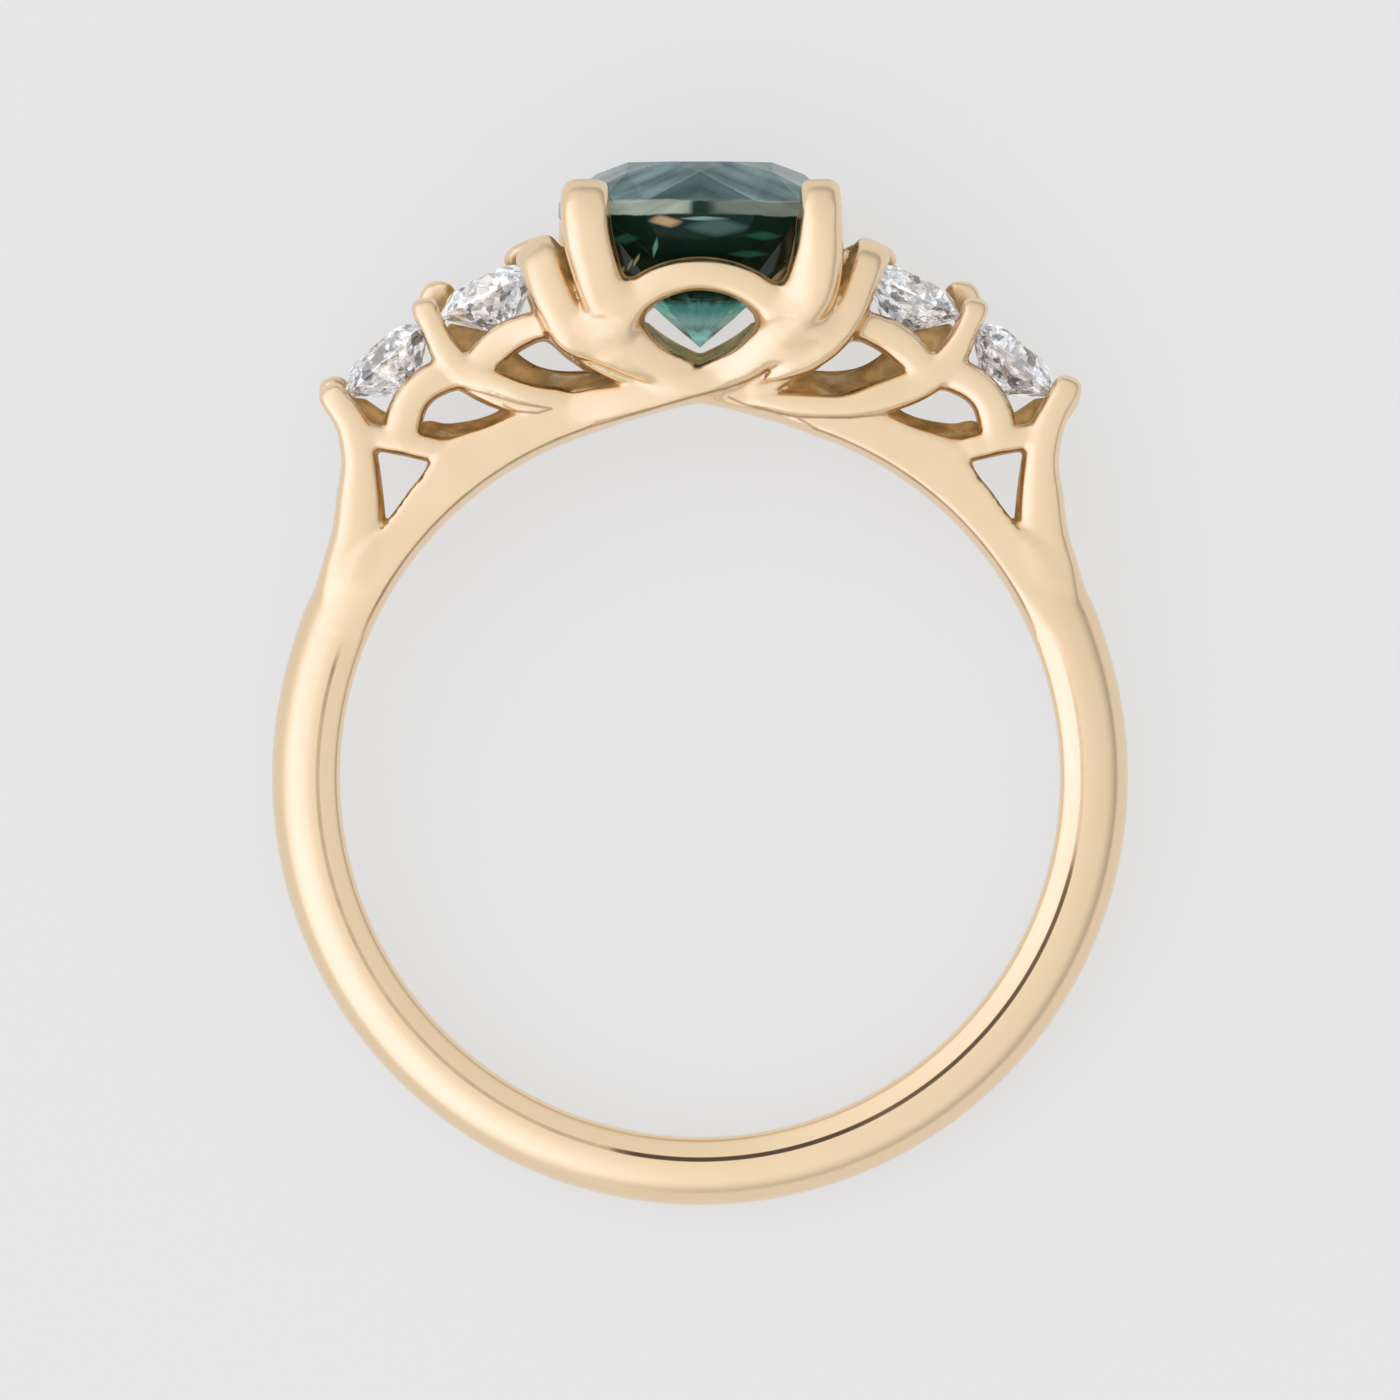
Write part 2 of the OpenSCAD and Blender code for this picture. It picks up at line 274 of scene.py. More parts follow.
# Angle from the bottom, lift off the finger, thickness at the face, half width, bevel, flat face,
# thickness at the ridge
shankRows = [(a, 0, 1.56, 1.02, 1, 0, 1.56) for a in range(0, 97, 8)] + [
    (104, 0, 1.56, 1.02, 1, 0, 1.56), (109, 0, 1.57, 1.04, 1, 0, 1.57),
    (112, 0, 1.58, 1.05, 0.9, 0.01, 1.58), (114, 0, 1.58, 1.06, 0.6, 0.04, 1.58),
    (118, 0, 1.54, 1.07, 0.25, 0.15, 1.54), (121, 0, 1.36, 1.08, 0.1, 0.5, 1.36),
    (124, 0, 1.15, 1.09, 0, 0.9, 1.15), (129, 0, 1, 1.1, 0, 1, 1), (134, 0, 1.07, 1.11, 0, 1, 1.07),
    (139, 0, 1.2, 1.13, 0, 1, 1.24), (141, 0, 1.28, 1.14, 0, 1, 1.9), (142.3, 0, 1.3, 1.14, 0, 1, 2.06),
    (143.9, 0, 1.28, 1.14, 0, 1, 1.76), (145.2, 0, 1.24, 1.14, 0, 1, 1.6),
    (148.2, 0, 1.12, 1.15, 0, 1, 1.38), (151, 0, 1.07, 1.16, 0, 1, 1.3), (153, 0, 1.06, 1.16, 0, 1, 1.36),
    (156, 0, 1.04, 1.17, 0, 1, 1.4), (160, 0, 1.02, 1.18, 0, 1, 1.36),
    (165, 0.03, 0.93, 1.18, 0, 1, 1.24), (168, 0.07, 0.85, 1.15, 0, 1, 1.07),
    (171, 0.11, 0.8, 1.08, 0, 1, 0.92), (175, 0.2, 0.72, 0.95, 0, 1, 0.8),
    (180, 0.325, 0.62, 0.88, 0, 1, 0.72),
]
# Painted shade along the line beside the bevel: how dark it is, by angle from the bottom towards the
# right
creaseShade = [(-111, 0), (-107, 0.75), (-98, 0.5), (-60, 0.45), (-14, 0.5), (-9, 2.4),
                  (20, 2.4), (28, 1.6), (45, 1.9), (72, 1.6), (80, 0.4), (104, 0.25), (111, 0)]
# The points of a section that carry this line, and their share of it
creasePoints = {11: 0.9, 12: 1, 13: 0.9}
# Each wire's points: x, y, z, width seen along the finger, depth
wires = {
    "clawOuter": [
        (8.5, 2.9, 0.2, 0.8, 0.9), (8.32, 3.7, 0.26, 0.98, 1.08), (8.06, 4.6, 0.36, 1.28, 1.28),
        (7.83, 5.5, 0.44, 1.24, 1.22), (7.79, 6.4, 0.55, 1.08, 1.08), (7.79, 7.2, 0.67, 0.86, 0.96),
        (7.9, 7.88, 0.76, 0.8, 0.86), (8.12, 8.4, 0.78, 0.7, 0.78), (8.34, 8.78, 0.75, 0.68, 0.72),
        (8.43, 8.96, 0.66, 0.62, 0.6), (8.47, 9.07, 0.54, 0.22, 0.22)],
    "clawOuterLowTip": [
        (8.1, 8.3, 0.77, 0.72, 0.78), (8.33, 8.62, 0.74, 0.68, 0.72), (8.43, 8.76, 0.66, 0.6, 0.6),
        (8.47, 8.84, 0.54, 0.24, 0.22)],
    "footBar": [
        (7.85, 7.86, 0.72, 0.58, 0.74), (7.33, 7.765, 0.76, 0.6, 0.76), (6.72, 7.645, 0.78, 0.6, 0.76),
        (6.05, 7.49, 0.76, 0.6, 0.74), (5.5, 7.34, 0.62, 0.55, 0.64)],
    "archOuter": [
        (6.93, 7.62, 0.76, 0.72, 0.74), (6.84, 7.8, 0.78, 0.8, 0.76), (6.78, 8.2, 0.8, 0.84, 0.76),
        (6.6, 8.64, 0.82, 0.78, 0.76), (6.3, 8.96, 0.83, 0.76, 0.76), (5.9, 9.18, 0.83, 0.78, 0.74),
        (5.5, 9.26, 0.8, 0.7, 0.66)],
    "clawMid": [
        (4.79, 8.92, 0.9, 0.8, 0.74), (5.38, 9.26, 0.9, 0.78, 0.76), (5.77, 9.66, 0.89, 0.72, 0.74),
        (5.98, 10.02, 0.88, 0.62, 0.7), (6.16, 10.4, 0.87, 0.57, 0.66), (6.26, 10.62, 0.84, 0.62, 0.62),
        (6.3, 10.76, 0.74, 0.58, 0.52), (6.31, 10.85, 0.62, 0.24, 0.2)],
    "clawMidUnder": [
        (2.6, 8.52, 0.8, 0.4, 0.5), (3.23, 8.62, 0.9, 0.6, 0.64), (4.03, 8.775, 1.03, 0.54, 0.7),
        (4.71, 9.02, 1, 0.58, 0.72)],
    "clawMidBackTip": [
        (6.16, 10.6, 0.84, 0.72, 0.62), (6, 10.98, 0.76, 0.84, 0.56), (5.9, 11.2, 0.64, 0.62, 0.36),
        (5.87, 11.29, 0.56, 0.24, 0.2)],
    "clawMidRun": [
        (0.64, 8.665, 1, 0.06, 0.16), (1.2, 8.64, 1.06, 0.32, 0.46), (1.735, 8.595, 1.06, 0.5, 0.54),
        (2.3, 8.53, 1.04, 0.6, 0.6), (3.23, 8.49, 1.02, 0.6, 0.64), (4.03, 8.66, 0.97, 0.76, 0.72)],
    "archInner": [
        (3.15, 10.28, 1.32, 0.6, 0.7), (3.7, 10.32, 1.18, 0.66, 0.74), (4.16, 10.17, 1.05, 0.74, 0.76),
        (4.46, 10, 0.98, 0.78, 0.76), (4.74, 9.78, 0.93, 0.8, 0.76), (5.02, 9.5, 0.9, 0.74, 0.74),
        (5.3, 9.2, 0.86, 0.6, 0.66)],
    "clawInner": [
        (1.48, 9.08, 1.46, 0.06, 0.3), (1.75, 9.24, 1.48, 0.36, 0.62), (2.05, 9.44, 1.52, 0.62, 0.78),
        (2.45, 9.72, 1.58, 0.88, 0.86), (2.94, 10.13, 1.68, 0.96, 0.92), (3.36, 10.66, 1.66, 0.9, 0.94),
        (3.58, 11.14, 1.56, 0.86, 0.92), (3.76, 11.58, 1.4, 0.84, 0.88), (3.86, 11.82, 1.2, 0.86, 0.8),
        (3.91, 11.98, 1, 0.86, 0.62), (3.94, 12.09, 0.8, 0.38, 0.22)],
    "clawInnerUnder": [
        (0.8, 8.96, 1.16, 0.06, 0.2), (1.12, 9.18, 1.36, 0.32, 0.56), (1.64, 9.44, 1.52, 0.52, 0.72),
        (2.28, 9.8, 1.64, 0.72, 0.84), (2.86, 10.17, 1.76, 1.04, 0.94), (3.14, 10.68, 1.76, 1.1, 0.98),
        (3.36, 11.14, 1.66, 1.12, 1), (3.52, 11.58, 1.5, 1.12, 0.98), (3.64, 11.84, 1.3, 1.08, 0.9),
        (3.76, 12, 1.08, 0.98, 0.68), (3.84, 12.1, 0.86, 0.46, 0.26)],
    "clawInnerBackTip": [
        (3.92, 11.86, 1.14, 1, 0.78), (4.04, 12.03, 0.94, 1, 0.6), (4.1, 12.15, 0.76, 0.44, 0.22)],
    "clawFlank": [
        (2.16, 10.2, 1.66, 0.7, 0.8), (2.44, 10.7, 1.92, 0.9, 0.9), (2.62, 11.2, 2.14, 0.98, 0.96),
        (2.72, 11.8, 2.34, 0.92, 0.96), (2.72, 12.3, 2.46, 0.8, 0.9), (2.68, 12.7, 2.5, 0.66, 0.8)],
    "clawWeb": [
        (3, 10.6, 1.1, 0.7, 0.9), (3.2, 11.1, 1.1, 0.7, 0.9), (3.34, 11.6, 1.04, 0.66, 0.84),
        (3.42, 11.98, 0.96, 0.5, 0.6)],
    "clawWebUnder": [
        (2.4, 10.2, 1.36, 0.7, 1), (2.74, 10.7, 1.38, 0.7, 1.04), (2.94, 11.2, 1.34, 0.7, 1),
        (3.08, 11.7, 1.26, 0.64, 0.9), (3.18, 12, 1.16, 0.44, 0.6)],
    "clawMain": [
        (0.42, 9.25, 1.26, 0.78, 0.72), (1.06, 9.53, 1.42, 0.88, 0.84), (1.58, 9.98, 1.66, 0.99, 0.92),
        (1.99, 10.58, 1.97, 1.08, 0.98), (2.24, 11.16, 2.22, 1.11, 1), (2.43, 11.8, 2.45, 1.14, 1.04),
        (2.56, 12.34, 2.62, 1.15, 1.06), (2.61, 12.84, 2.73, 1.14, 1.08), (2.61, 13.05, 2.7, 1.14, 1),
        (2.61, 13.24, 2.6, 1.12, 0.84), (2.61, 13.37, 2.4, 1.06, 0.62), (2.61, 13.43, 2.16, 0.9, 0.34)],
    "clawMainOver": [
        (0.42, 9.25, 1.26, 0.78, 0.72), (1.06, 9.53, 1.42, 0.88, 0.84), (1.6, 9.98, 1.66, 0.99, 0.92),
        (2.08, 10.58, 1.97, 1.1, 0.98), (2.45, 11.16, 2.22, 1.12, 1), (2.63, 11.8, 2.45, 1.06, 1.04),
        (2.71, 12.34, 2.62, 0.99, 1.06), (2.74, 12.84, 2.73, 0.96, 1.08), (2.74, 13.05, 2.7, 0.96, 1),
        (2.74, 13.24, 2.6, 0.95, 0.84), (2.74, 13.37, 2.4, 0.9, 0.62), (2.74, 13.43, 2.16, 0.76, 0.34)],
    "strandOver": [
        (-3.3, 8.25, 0.88, 0.8, 0.5), (-2.52, 8.47, 0.98, 0.9, 0.6), (-1.75, 8.62, 1.08, 0.86, 0.68),
        (-0.88, 8.85, 1.16, 0.88, 0.72), (-0.21, 9.01, 1.21, 0.78, 0.72)],
    "strandUnder": [
        (-3.2, 8.3, 0.82, 0.7, 0.5), (-2.5, 8.52, 0.88, 0.78, 0.56), (-1.71, 8.66, 0.92, 0.78, 0.6),
        (-0.86, 8.8, 0.98, 0.74, 0.6), (-0.21, 8.98, 1.06, 0.7, 0.6)],
    "notchFill": [
        (0.6, 8.93, 0.94, 0.46, 0.5), (1.2, 9, 1.04, 0.66, 0.6), (1.62, 9.1, 1.08, 0.7, 0.6),
        (1.9, 9.16, 1.08, 0.42, 0.6), (2.3, 9.29, 1.08, 0.28, 0.56), (2.62, 9.43, 1.14, 0.24, 0.44),
        (2.9, 9.6, 1.36, 0.1, 0.14)],
    "pitFill": [
        (1.1, 9.06, 1.12, 0.2, 0.4), (1.38, 9.21, 1.26, 0.34, 0.5), (1.64, 9.37, 1.3, 0.32, 0.5),
        (1.86, 9.52, 1.3, 0.12, 0.3)],
    "lensStrip": [
        (3.05, 9.8, 1.5, 0.12, 0.3), (2.78, 9.68, 1.46, 0.3, 0.5), (2.47, 9.55, 1.42, 0.4, 0.56),
        (2.05, 9.32, 1.32, 0.4, 0.56), (1.66, 9.155, 1.22, 0.38, 0.5), (1.17, 9, 1.12, 0.3, 0.44),
        (0.8, 8.9, 1.06, 0.1, 0.3)],
    "leafStrip": [
        (5.45, 8.89, 1, 0.06, 0.2), (5.06, 8.8, 1.05, 0.24, 0.36), (4.61, 8.63, 1.07, 0.32, 0.36),
        (4.2, 8.51, 1.07, 0.32, 0.36), (3.735, 8.44, 1.07, 0.26, 0.34), (3.35, 8.44, 1, 0.06, 0.2)],
    "archMain": [
        (0, 11.5, 2.34, 0.77, 0.78), (0.7, 11.39, 2.31, 0.78, 0.78), (1.3, 11.1, 2.24, 0.8, 0.78),
        (1.74, 10.7, 2.12, 0.82, 0.76), (2, 10.3, 1.98, 0.7, 0.7)],
    "midWeb": [
        (2.3, 8.8, 0, 0.8, 0.8), (3.08, 8.82, 0, 0.84, 0.7), (3.9, 9, 0, 0.92, 0.6),
        (4.48, 9.3, 0, 0.98, 0.56), (4.95, 9.6, 0, 0.9, 0.56), (5.4, 9.86, 0, 0.7, 0.56),
        (5.8, 10.06, 0, 0.6, 0.56)],
    "clawWall": [
        (8, 8.66, 0, 0.4, 0.56), (7.72, 8.4, 0, 0.5, 0.56), (7.36, 8.16, 0, 0.5, 0.56),
        (7, 8.02, 0, 0.44, 0.56)],
    "seatWall": [
        (5.66, 9.6, 0, 0.7, 0.56), (5.34, 9.9, 0, 1, 0.56), (5, 10.24, 0, 1.3, 0.56),
        (4.66, 10.6, 0, 1.5, 0.56)],
    "cradle": [
        (0, 9.38, 0, 0.66, 2.1), (0.5, 9.56, 0, 0.66, 2.3), (1, 9.87, 0, 0.62, 2.6),
        (1.4, 10.26, 0, 0.5, 3)],
}


# The head is drawn as a field: a grid of points that each hold the distance to the gold
class grid:
    low = np.array([-9.72, 1.92, -3.48])
    step = 0.06
    shape = (325, 198, 117)
    far = 1.0  # the distance held where no gold is near
    margin = 0.5  # how far a wire's patch reaches beyond it
    coarse = 6  # every sixth centre is enough to leave out the points far away,
    spare = 0.2  # where the reach is this much longer
    slide = 0.6  # how far a point may lie ahead of its nearest centre, in steps of the path


def boxAround(low, high, spare):
    first = np.floor((np.array(low) - spare - grid.low) / grid.step).astype(int).clip(0)
    last = np.ceil((np.array(high) + spare - grid.low) / grid.step).astype(int) + 1
    return tuple(slice(a, min(b, n)) for a, b, n in zip(first, last, grid.shape))


def boxPoints(box):
    axes = [low + grid.step * np.arange(part.start, part.stop) for low, part in zip(grid.low, box)]
    return np.stack(np.meshgrid(*axes, indexing="ij"), axis=-1).astype(np.float32)


def squaresApart(points, others):
    middle = others.mean(axis=0)
    points, others = points - middle, others - middle
    return (points ** 2).sum(axis=1)[:, None] + (others ** 2).sum(axis=1) - 2 * points @ others.T


wirePatches = {}


def wire(rows):
    # Draws each wire only once
    if tuple(rows) not in wirePatches:
        wirePatches[tuple(rows)] = wirePatch(rows)
    return wirePatches[tuple(rows)]


def named(*names):
    return wire(sum((wires[name] for name in names), []))


def wirePatch(rows):
    # A patch of the field round one wire: its box and the distances in it
    path = smoothRows(rows, mount["wireSteps"]).astype(np.float32)
    centres, half = path[:, :3], np.maximum(path[:, 3:5], mount["thinnest"]) / 2
    along = np.gradient(centres, axis=0)
    length = np.linalg.norm(along, axis=1)
    along /= length[:, None]
    across = np.cross(np.array([0, 0, 1], np.float32), along)
    across /= np.linalg.norm(across, axis=1)[:, None]
    up = np.cross(along, across)
    reach = half.max() + grid.margin
    box = boxAround(centres.min(axis=0), centres.max(axis=0), reach)
    points = boxPoints(box)
    shape = points.shape[:3]
    points = points.reshape(-1, 3)
    distance = np.full(len(points), grid.far, np.float32)
    apart = squaresApart(points, centres[::grid.coarse]).min(axis=1)
    use = np.nonzero(apart < (reach + grid.spare) ** 2)[0]
    points = points[use]
    near = squaresApart(points, centres).argmin(axis=1)
    ahead = ((points - centres[near]) * along[near]).sum(axis=1) / length[near]
    place = np.clip(near + np.clip(ahead, -grid.slide, grid.slide), 0, len(path) - 1)
    start = np.minimum(place.astype(int), len(path) - 2)
    share = (place - start)[:, None]

    def at(table):
        return table[start] * (1 - share) + table[start + 1] * share

    offset = points - at(centres)
    sizes = at(half)
    flat = np.stack([(offset * at(across)).sum(axis=1), (offset * at(up)).sum(axis=1)], axis=1)
    beyond = np.sqrt(np.maximum((offset ** 2).sum(axis=1) - (flat ** 2).sum(axis=1), 0))
    atEnd = (place <= 0) | (place >= len(path) - 1)
    power = mount["wirePower"]
    part = np.abs(flat) / sizes + 1e-5
    level = (part ** power).sum(axis=1) ** (1 / power)
    slope = level ** (1 - power) * np.linalg.norm(part ** (power - 1) / sizes, axis=1)
    apart = (level - 1) / slope
    apart = np.where(atEnd & (beyond > 0.02), np.hypot(np.maximum(apart, 0), beyond), apart)
    distance[use] = np.minimum(apart, grid.far)
    return box, distance.reshape(shape)


def mirrored(patch):
    (x, y, z), distance = patch
    return (slice(grid.shape[0] - x.stop, grid.shape[0] - x.start), y, z), distance[::-1]


def bothSides(rows):
    return [(-row[0],) + row[1:] for row in rows[:0:-1]] + rows


def melt(field, patch, reach):
    # Joins a patch to the field, with a fillet in the corner between them
    box, other = patch
    here = field[box]
    if not np.isscalar(reach):
        reach = reach[:, box[1]]
    share = np.maximum(reach - np.abs(here - other), 0) / reach
    field[box] = np.minimum(here, other) - share * share * reach * 0.25


whole = tuple(slice(0, count) for count in grid.shape)


def melted(patches, reach):
    # Several patches as one that is as large as the grid
    field = np.full(grid.shape, grid.far, np.float32)
    for patch in patches:
        melt(field, patch, reach)
    return whole, field


def filletByHeight(*stops):
    heights = grid.low[1] + grid.step * np.arange(grid.shape[1])
    return valueAt(stops, heights).astype(np.float32).reshape(1, -1, 1)


def evenOut(field, middle, size):
    # Smooths the surface inside an egg-shaped region, where wires run together into one
    box = boxAround(np.array(middle) - size, np.array(middle) + size, 0)
    apart = np.linalg.norm((boxPoints(box) - middle) / size, axis=-1)
    even = field[box].copy()
    for _ in range(mount["evenRounds"]):
        for axis in range(3):
            even += (np.roll(even, 1, axis) + np.roll(even, -1, axis) - 2 * even) * 0.25
    field[box] += (even - field[box]) * (1.6 - 1.6 * apart).clip(0, 1)


def faceField(back, rails):
    # One face of the trellis. The side with the strand that runs over the other is on the right.
    fillet, seam, footFillet = mount["fillet"], mount["seam"], fillets["archFoot"]
    mid, inner, under = wires["clawMid"], wires["clawInner"], wires["clawInnerUnder"]
    if back:
        mid = mid[:-3] + wires["clawMidBackTip"]
        inner = inner[:-3] + wires["clawInnerBackTip"]
        under = under[:-3] + wires["clawInnerBackTip"]
    archInner, archOuter, footBar = named("archInner"), named("archOuter"), named("footBar")
    crossing = filletByHeight((9.2, 0.34), (9.42, 0.04))
    besideOver = filletByHeight((9.3, seam), (9.5, 0.3), (10.0, 0.6), (10.4, 0.35), (10.8, 0.05))
    besideUnder = filletByHeight((9.0, 0.06), (9.5, 0.25), (10.2, 0.7), (10.5, 0.5), (10.85, 0.05))
    rising = filletByHeight((3.9, 0.04), (4.5, 0.26), (5.3, 0.26), (6.2, fillet))
    top = melted([named("strandOver", "clawMainOver")], seam)[1]
    melt(top, mirrored(named("strandUnder", "clawMain")), crossing)
    melt(top, wire(bothSides(wires["archMain"])), mount["headFillet"])
    melt(top, named("clawFlank"), fillets["clawFlank"])
    melt(top, named("clawWeb"), seam)
    melt(top, mirrored(named("clawWebUnder")), fillets["clawWebUnder"])
    melt(top, melted([wire(inner), archInner], footFillet), besideOver)
    melt(top, melted([mirrored(wire(under)), mirrored(archInner)], footFillet), besideUnder)
    for middle, size in mount["evened"]:
        evenOut(top, middle, size)
    melt(top, melted([named("notchFill"), named("pitFill")], fillets["pocket"]), seam)
    melt(top, mirrored(named("lensStrip")), seam)
    lowOuter = wire(wires["clawOuter"][:-4] + wires["clawOuterLowTip"])
    melt(top, melted([named("clawOuter"), footBar, archOuter, mirrored(lowOuter), mirrored(footBar),
                      mirrored(archOuter), rails], rising), seam)
    melt(top, melted([wire(wires["clawMidRun"] + mid), archInner, archOuter], fillet), seam)
    midUnder = wire(wires["clawMidUnder"] + mid[1:])
    melt(top, melted([mirrored(patch) for patch in (midUnder, archInner, archOuter)], fillet), seam)
    melt(top, mirrored(named("leafStrip")), fillets["leafStrip"])
    return top


# The band's section from the hole's wall to the bevel's line: out from the finger and share of the
# half width, first without the bevel and then with it
bevelRows = [
    (0, 0, 0, 0), (0, 0.2, 0, 0.2), (0, 0.4, 0, 0.4), (0, 0.58, 0, 0.58), (0.008, 0.66, 0.008, 0.66),
    (0.035, 0.75, 0.035, 0.75), (0.075, 0.83, 0.075, 0.8), (0.11, 0.91, 0.12, 0.835),
    (0.135, 0.965, 0.17, 0.865), (0.16, 0.995, 0.33, 0.925),
]
# Around the line: distance from it, share of the half width without and with the bevel
lineRows = [(-0.06, 1.0, 0.976), (-0.032, 1.0, 0.982), (0, 1.0, 0.986), (0.032, 1.0, 0.992),
            (0.06, 1.0, 0.995)]


profile = {
    "crease": (0.3, 0.5),  # how far out the bevel's line lies without and with the bevel
    "shoulder": 0.12,  # from there to the widest point
    "dome": (1.15, 0.8),  # 1 and 1 would be an oval outside
    "domeFrom": 8,  # degrees
    "bend": 0.14,  # size of the rounded corner between the face and the outside
    "crest": 0.42,  # half width of the ridge
}


def shankSection(thick, half, bevel, flat, ridge):
    # Distance out from the finger and from the middle, from the hole's wall round to the outside
    def mix(a, b):
        return a + (b - a) * bevel

    crease = mix(*profile["crease"])
    inside = [(mix(a, c), half * mix(b, d)) for a, b, c, d in bevelRows]
    inside += [(crease + off, half * mix(a, b)) for off, a, b in lineRows]
    start = crease + profile["shoulder"]
    outPower, widePower = profile["dome"]
    dome = np.array([(start + (thick - start) * math.sin(t) ** outPower, half * math.cos(t) ** widePower)
                     for t in np.radians(np.linspace(profile["domeFrom"], 90, 15))])
    bend = profile["bend"]
    edge, crest = np.array([thick, half]), np.array([ridge, profile["crest"]])
    fall = (crest - edge) / np.linalg.norm(crest - edge)
    corner = [edge + (1 - s) ** 2 * np.array([-bend, 0]) + s ** 2 * bend * fall
              for s in (0, 0.25, 0.5, 0.75, 1)]
    slope = [corner[-1] + (crest - corner[-1]) * s for s in (0.2, 0.4, 0.6, 0.8, 1)]
    wall = [(start, half), ((start + thick - bend) / 2, half)] + corner + slope
    wall = np.array(wall + [(ridge + 0.01, 0.28), (ridge + 0.015, 0.14), (ridge + 0.015, 0)])
    return np.vstack([inside, dome + (wall - dome) * flat])


shankTable = smoothRows(shankRows, mount["rowSteps"]).T


def sectionAt(angle):
    # The section at an angle from the bottom, as points out from the finger hole's wall
    lift, thick, half, bevel, flat, ridge = (
        np.interp(abs(angle), shankTable[0], column) for column in shankTable[1:])
    section = shankSection(thick, half, min(max(bevel, 0), 1), min(max(flat, 0), 1), ridge)
    return section + [lift, 0]


def shankRing(angle):
    section = sectionAt(angle)
    full = np.vstack([section, (section * [1, -1])[-2:0:-1]])
    radius = mount["boreRadius"] + full[:, 0]
    turn = math.radians(angle)
    return np.stack([radius * math.sin(turn), -radius * math.cos(turn), full[:, 1]], axis=1)


def sectionDistance(section, out, wide):
    spot = np.stack([out, wide], axis=1)[:, None]
    starts, runs = section[:-1], np.diff(section, axis=0)
    lengths = np.linalg.norm(runs, axis=1)
    runs = runs / lengths[:, None]
    offset = spot - starts
    ahead = (offset * runs).sum(axis=2).clip(0, lengths)
    apart = np.linalg.norm(offset - ahead[:, :, None] * runs, axis=2).min(axis=1)
    outside = (offset[:, :, 1] * runs[:, 0] - offset[:, :, 0] * runs[:, 1]).max(axis=1) > 0
    return np.where(outside, apart, -apart)


def railPatch():
    # The shank's two upper ends, which run up under the stones and meet at the top.
    # One quarter is worked out, and the others are its mirror images.
    x, y, z = boxAround(*rail["box"], rail["spare"])
    middle = [n // 2 for n in grid.shape]
    points = boxPoints((slice(middle[0], x.stop), y, slice(middle[2], z.stop)))
    shape = points.shape[:3]
    points = points.reshape(-1, 3)
    angles = np.degrees(np.arctan2(np.abs(points[:, 0]), -points[:, 1]))
    out = np.hypot(points[:, 0], points[:, 1]) - mount["boreRadius"]
    close = (out > rail["inside"]) & (out < rail["outside"]) & (angles > rail["from"])
    distance = np.where(close, 0, grid.far).astype(np.float32)
    # a point between two whole degrees takes its share of both sections
    for degree in range(rail["from"] - 1, 181):
        share = np.maximum(1 - np.abs(angles - degree), 0)
        use = np.nonzero(close & (share > 0))[0]
        if len(use):
            section = sectionAt(degree).astype(np.float32)
            distance[use] += share[use] * sectionDistance(section, out[use], points[use, 2])
    quarter = np.minimum(distance, grid.far).reshape(shape)
    half = np.concatenate([quarter[:0:-1], quarter])
    x = slice(grid.shape[0] - x.stop, x.stop)
    z = slice(grid.shape[2] - z.stop, z.stop)
    return (x, y, z), np.concatenate([half[:, :, :0:-1], half], axis=2)


# The stones. "place" holds the table's x and y and its slope in degrees; crown, girdle and pavilion
# are shares of the diameter. "sheen" goes by a facet's tilt, and "gleam" by the angle round the stone.
stones = {
    "sapphire": {
        "place": (0, 14.07, 0), "roll": 22.5,
        "d": 6.5, "crown": 0.142, "girdle": 0.049, "pavilion": 0.46,
        "sheen": [(0, 0.22), (8, 0.22), (13, 0.6), (25, 0.6), (30, 1.0), (34, 1.0), (37, 0.32),
                  (60, 0.32), (80, 0.05), (100, 0.05), (110, 0.02)],
        "gleam": [(-180, 0.02), (-176, 0.35), (-140, 0.35), (-110, 0.6), (-60, 0.4), (-44, 0.5),
                  (-30, 0.9), (-10, 1.0), (-5, 0.75), (-3.4, 0.02), (4.4, 0.02), (6, 0.36),
                  (40, 0.4), (60, 0.6), (110, 0.4), (150, 0.9), (174, 0.8), (177, 0.02), (180, 0.02)],
    },
    "diamond_inner_left": {"place": (-5.03, 11.44, -26), "roll": 12},
    "diamond_inner_right": {"place": (5.03, 11.44, 26), "roll": 31},
    "diamond_outer_left": {"place": (-7.46, 9.87, -41), "roll": 5},
    "diamond_outer_right": {"place": (7.46, 9.87, 41), "roll": 38},
}
diamondCut = {
    "d": 2.5, "crown": 0.15, "girdle": 0.03, "pavilion": 0.43,
    "sheen": [(0, 1), (180, 1)], "gleam": [(-180, 1), (180, 1)],
}
for stone in stones.values():
    for part, usual in diamondCut.items():
        stone.setdefault(part, usual)
# The facets' corners from the middle out, as shares of the radius
facets = {
    "table": 0.55, "tableToGirdle": 0.45, "star": 0.73, "low": 0.24,
    "step": 22.5,  # degrees from one corner to the next
    "rod": 144,  # sides of the round rod that a stone is ground from
    "kites": (36, 60),  # tilts of the facets that shine more at the left and the right
    "kiteShine": [(0.3, 1), (0.55, 2.4)],
}


def stonePlace(stone):
    x, y, slope = stone["place"]
    return (Matrix.Translation((x, y, 0)) @ Matrix.Rotation(math.radians(-slope), 4, "Z")
            @ Matrix.Rotation(math.radians(-90), 4, "X")
            @ Matrix.Rotation(math.radians(stone["roll"]), 4, "Z"))


def stoneAxes(stone):
    # The middle of the table, and the stone's own axes as columns
    place = np.array(stonePlace(stone))
    return place[:3, 3], place[:3, :3]


def stoneHeights(stone):
    return [stone[part] * stone["d"] for part in ("crown", "girdle", "pavilion")]


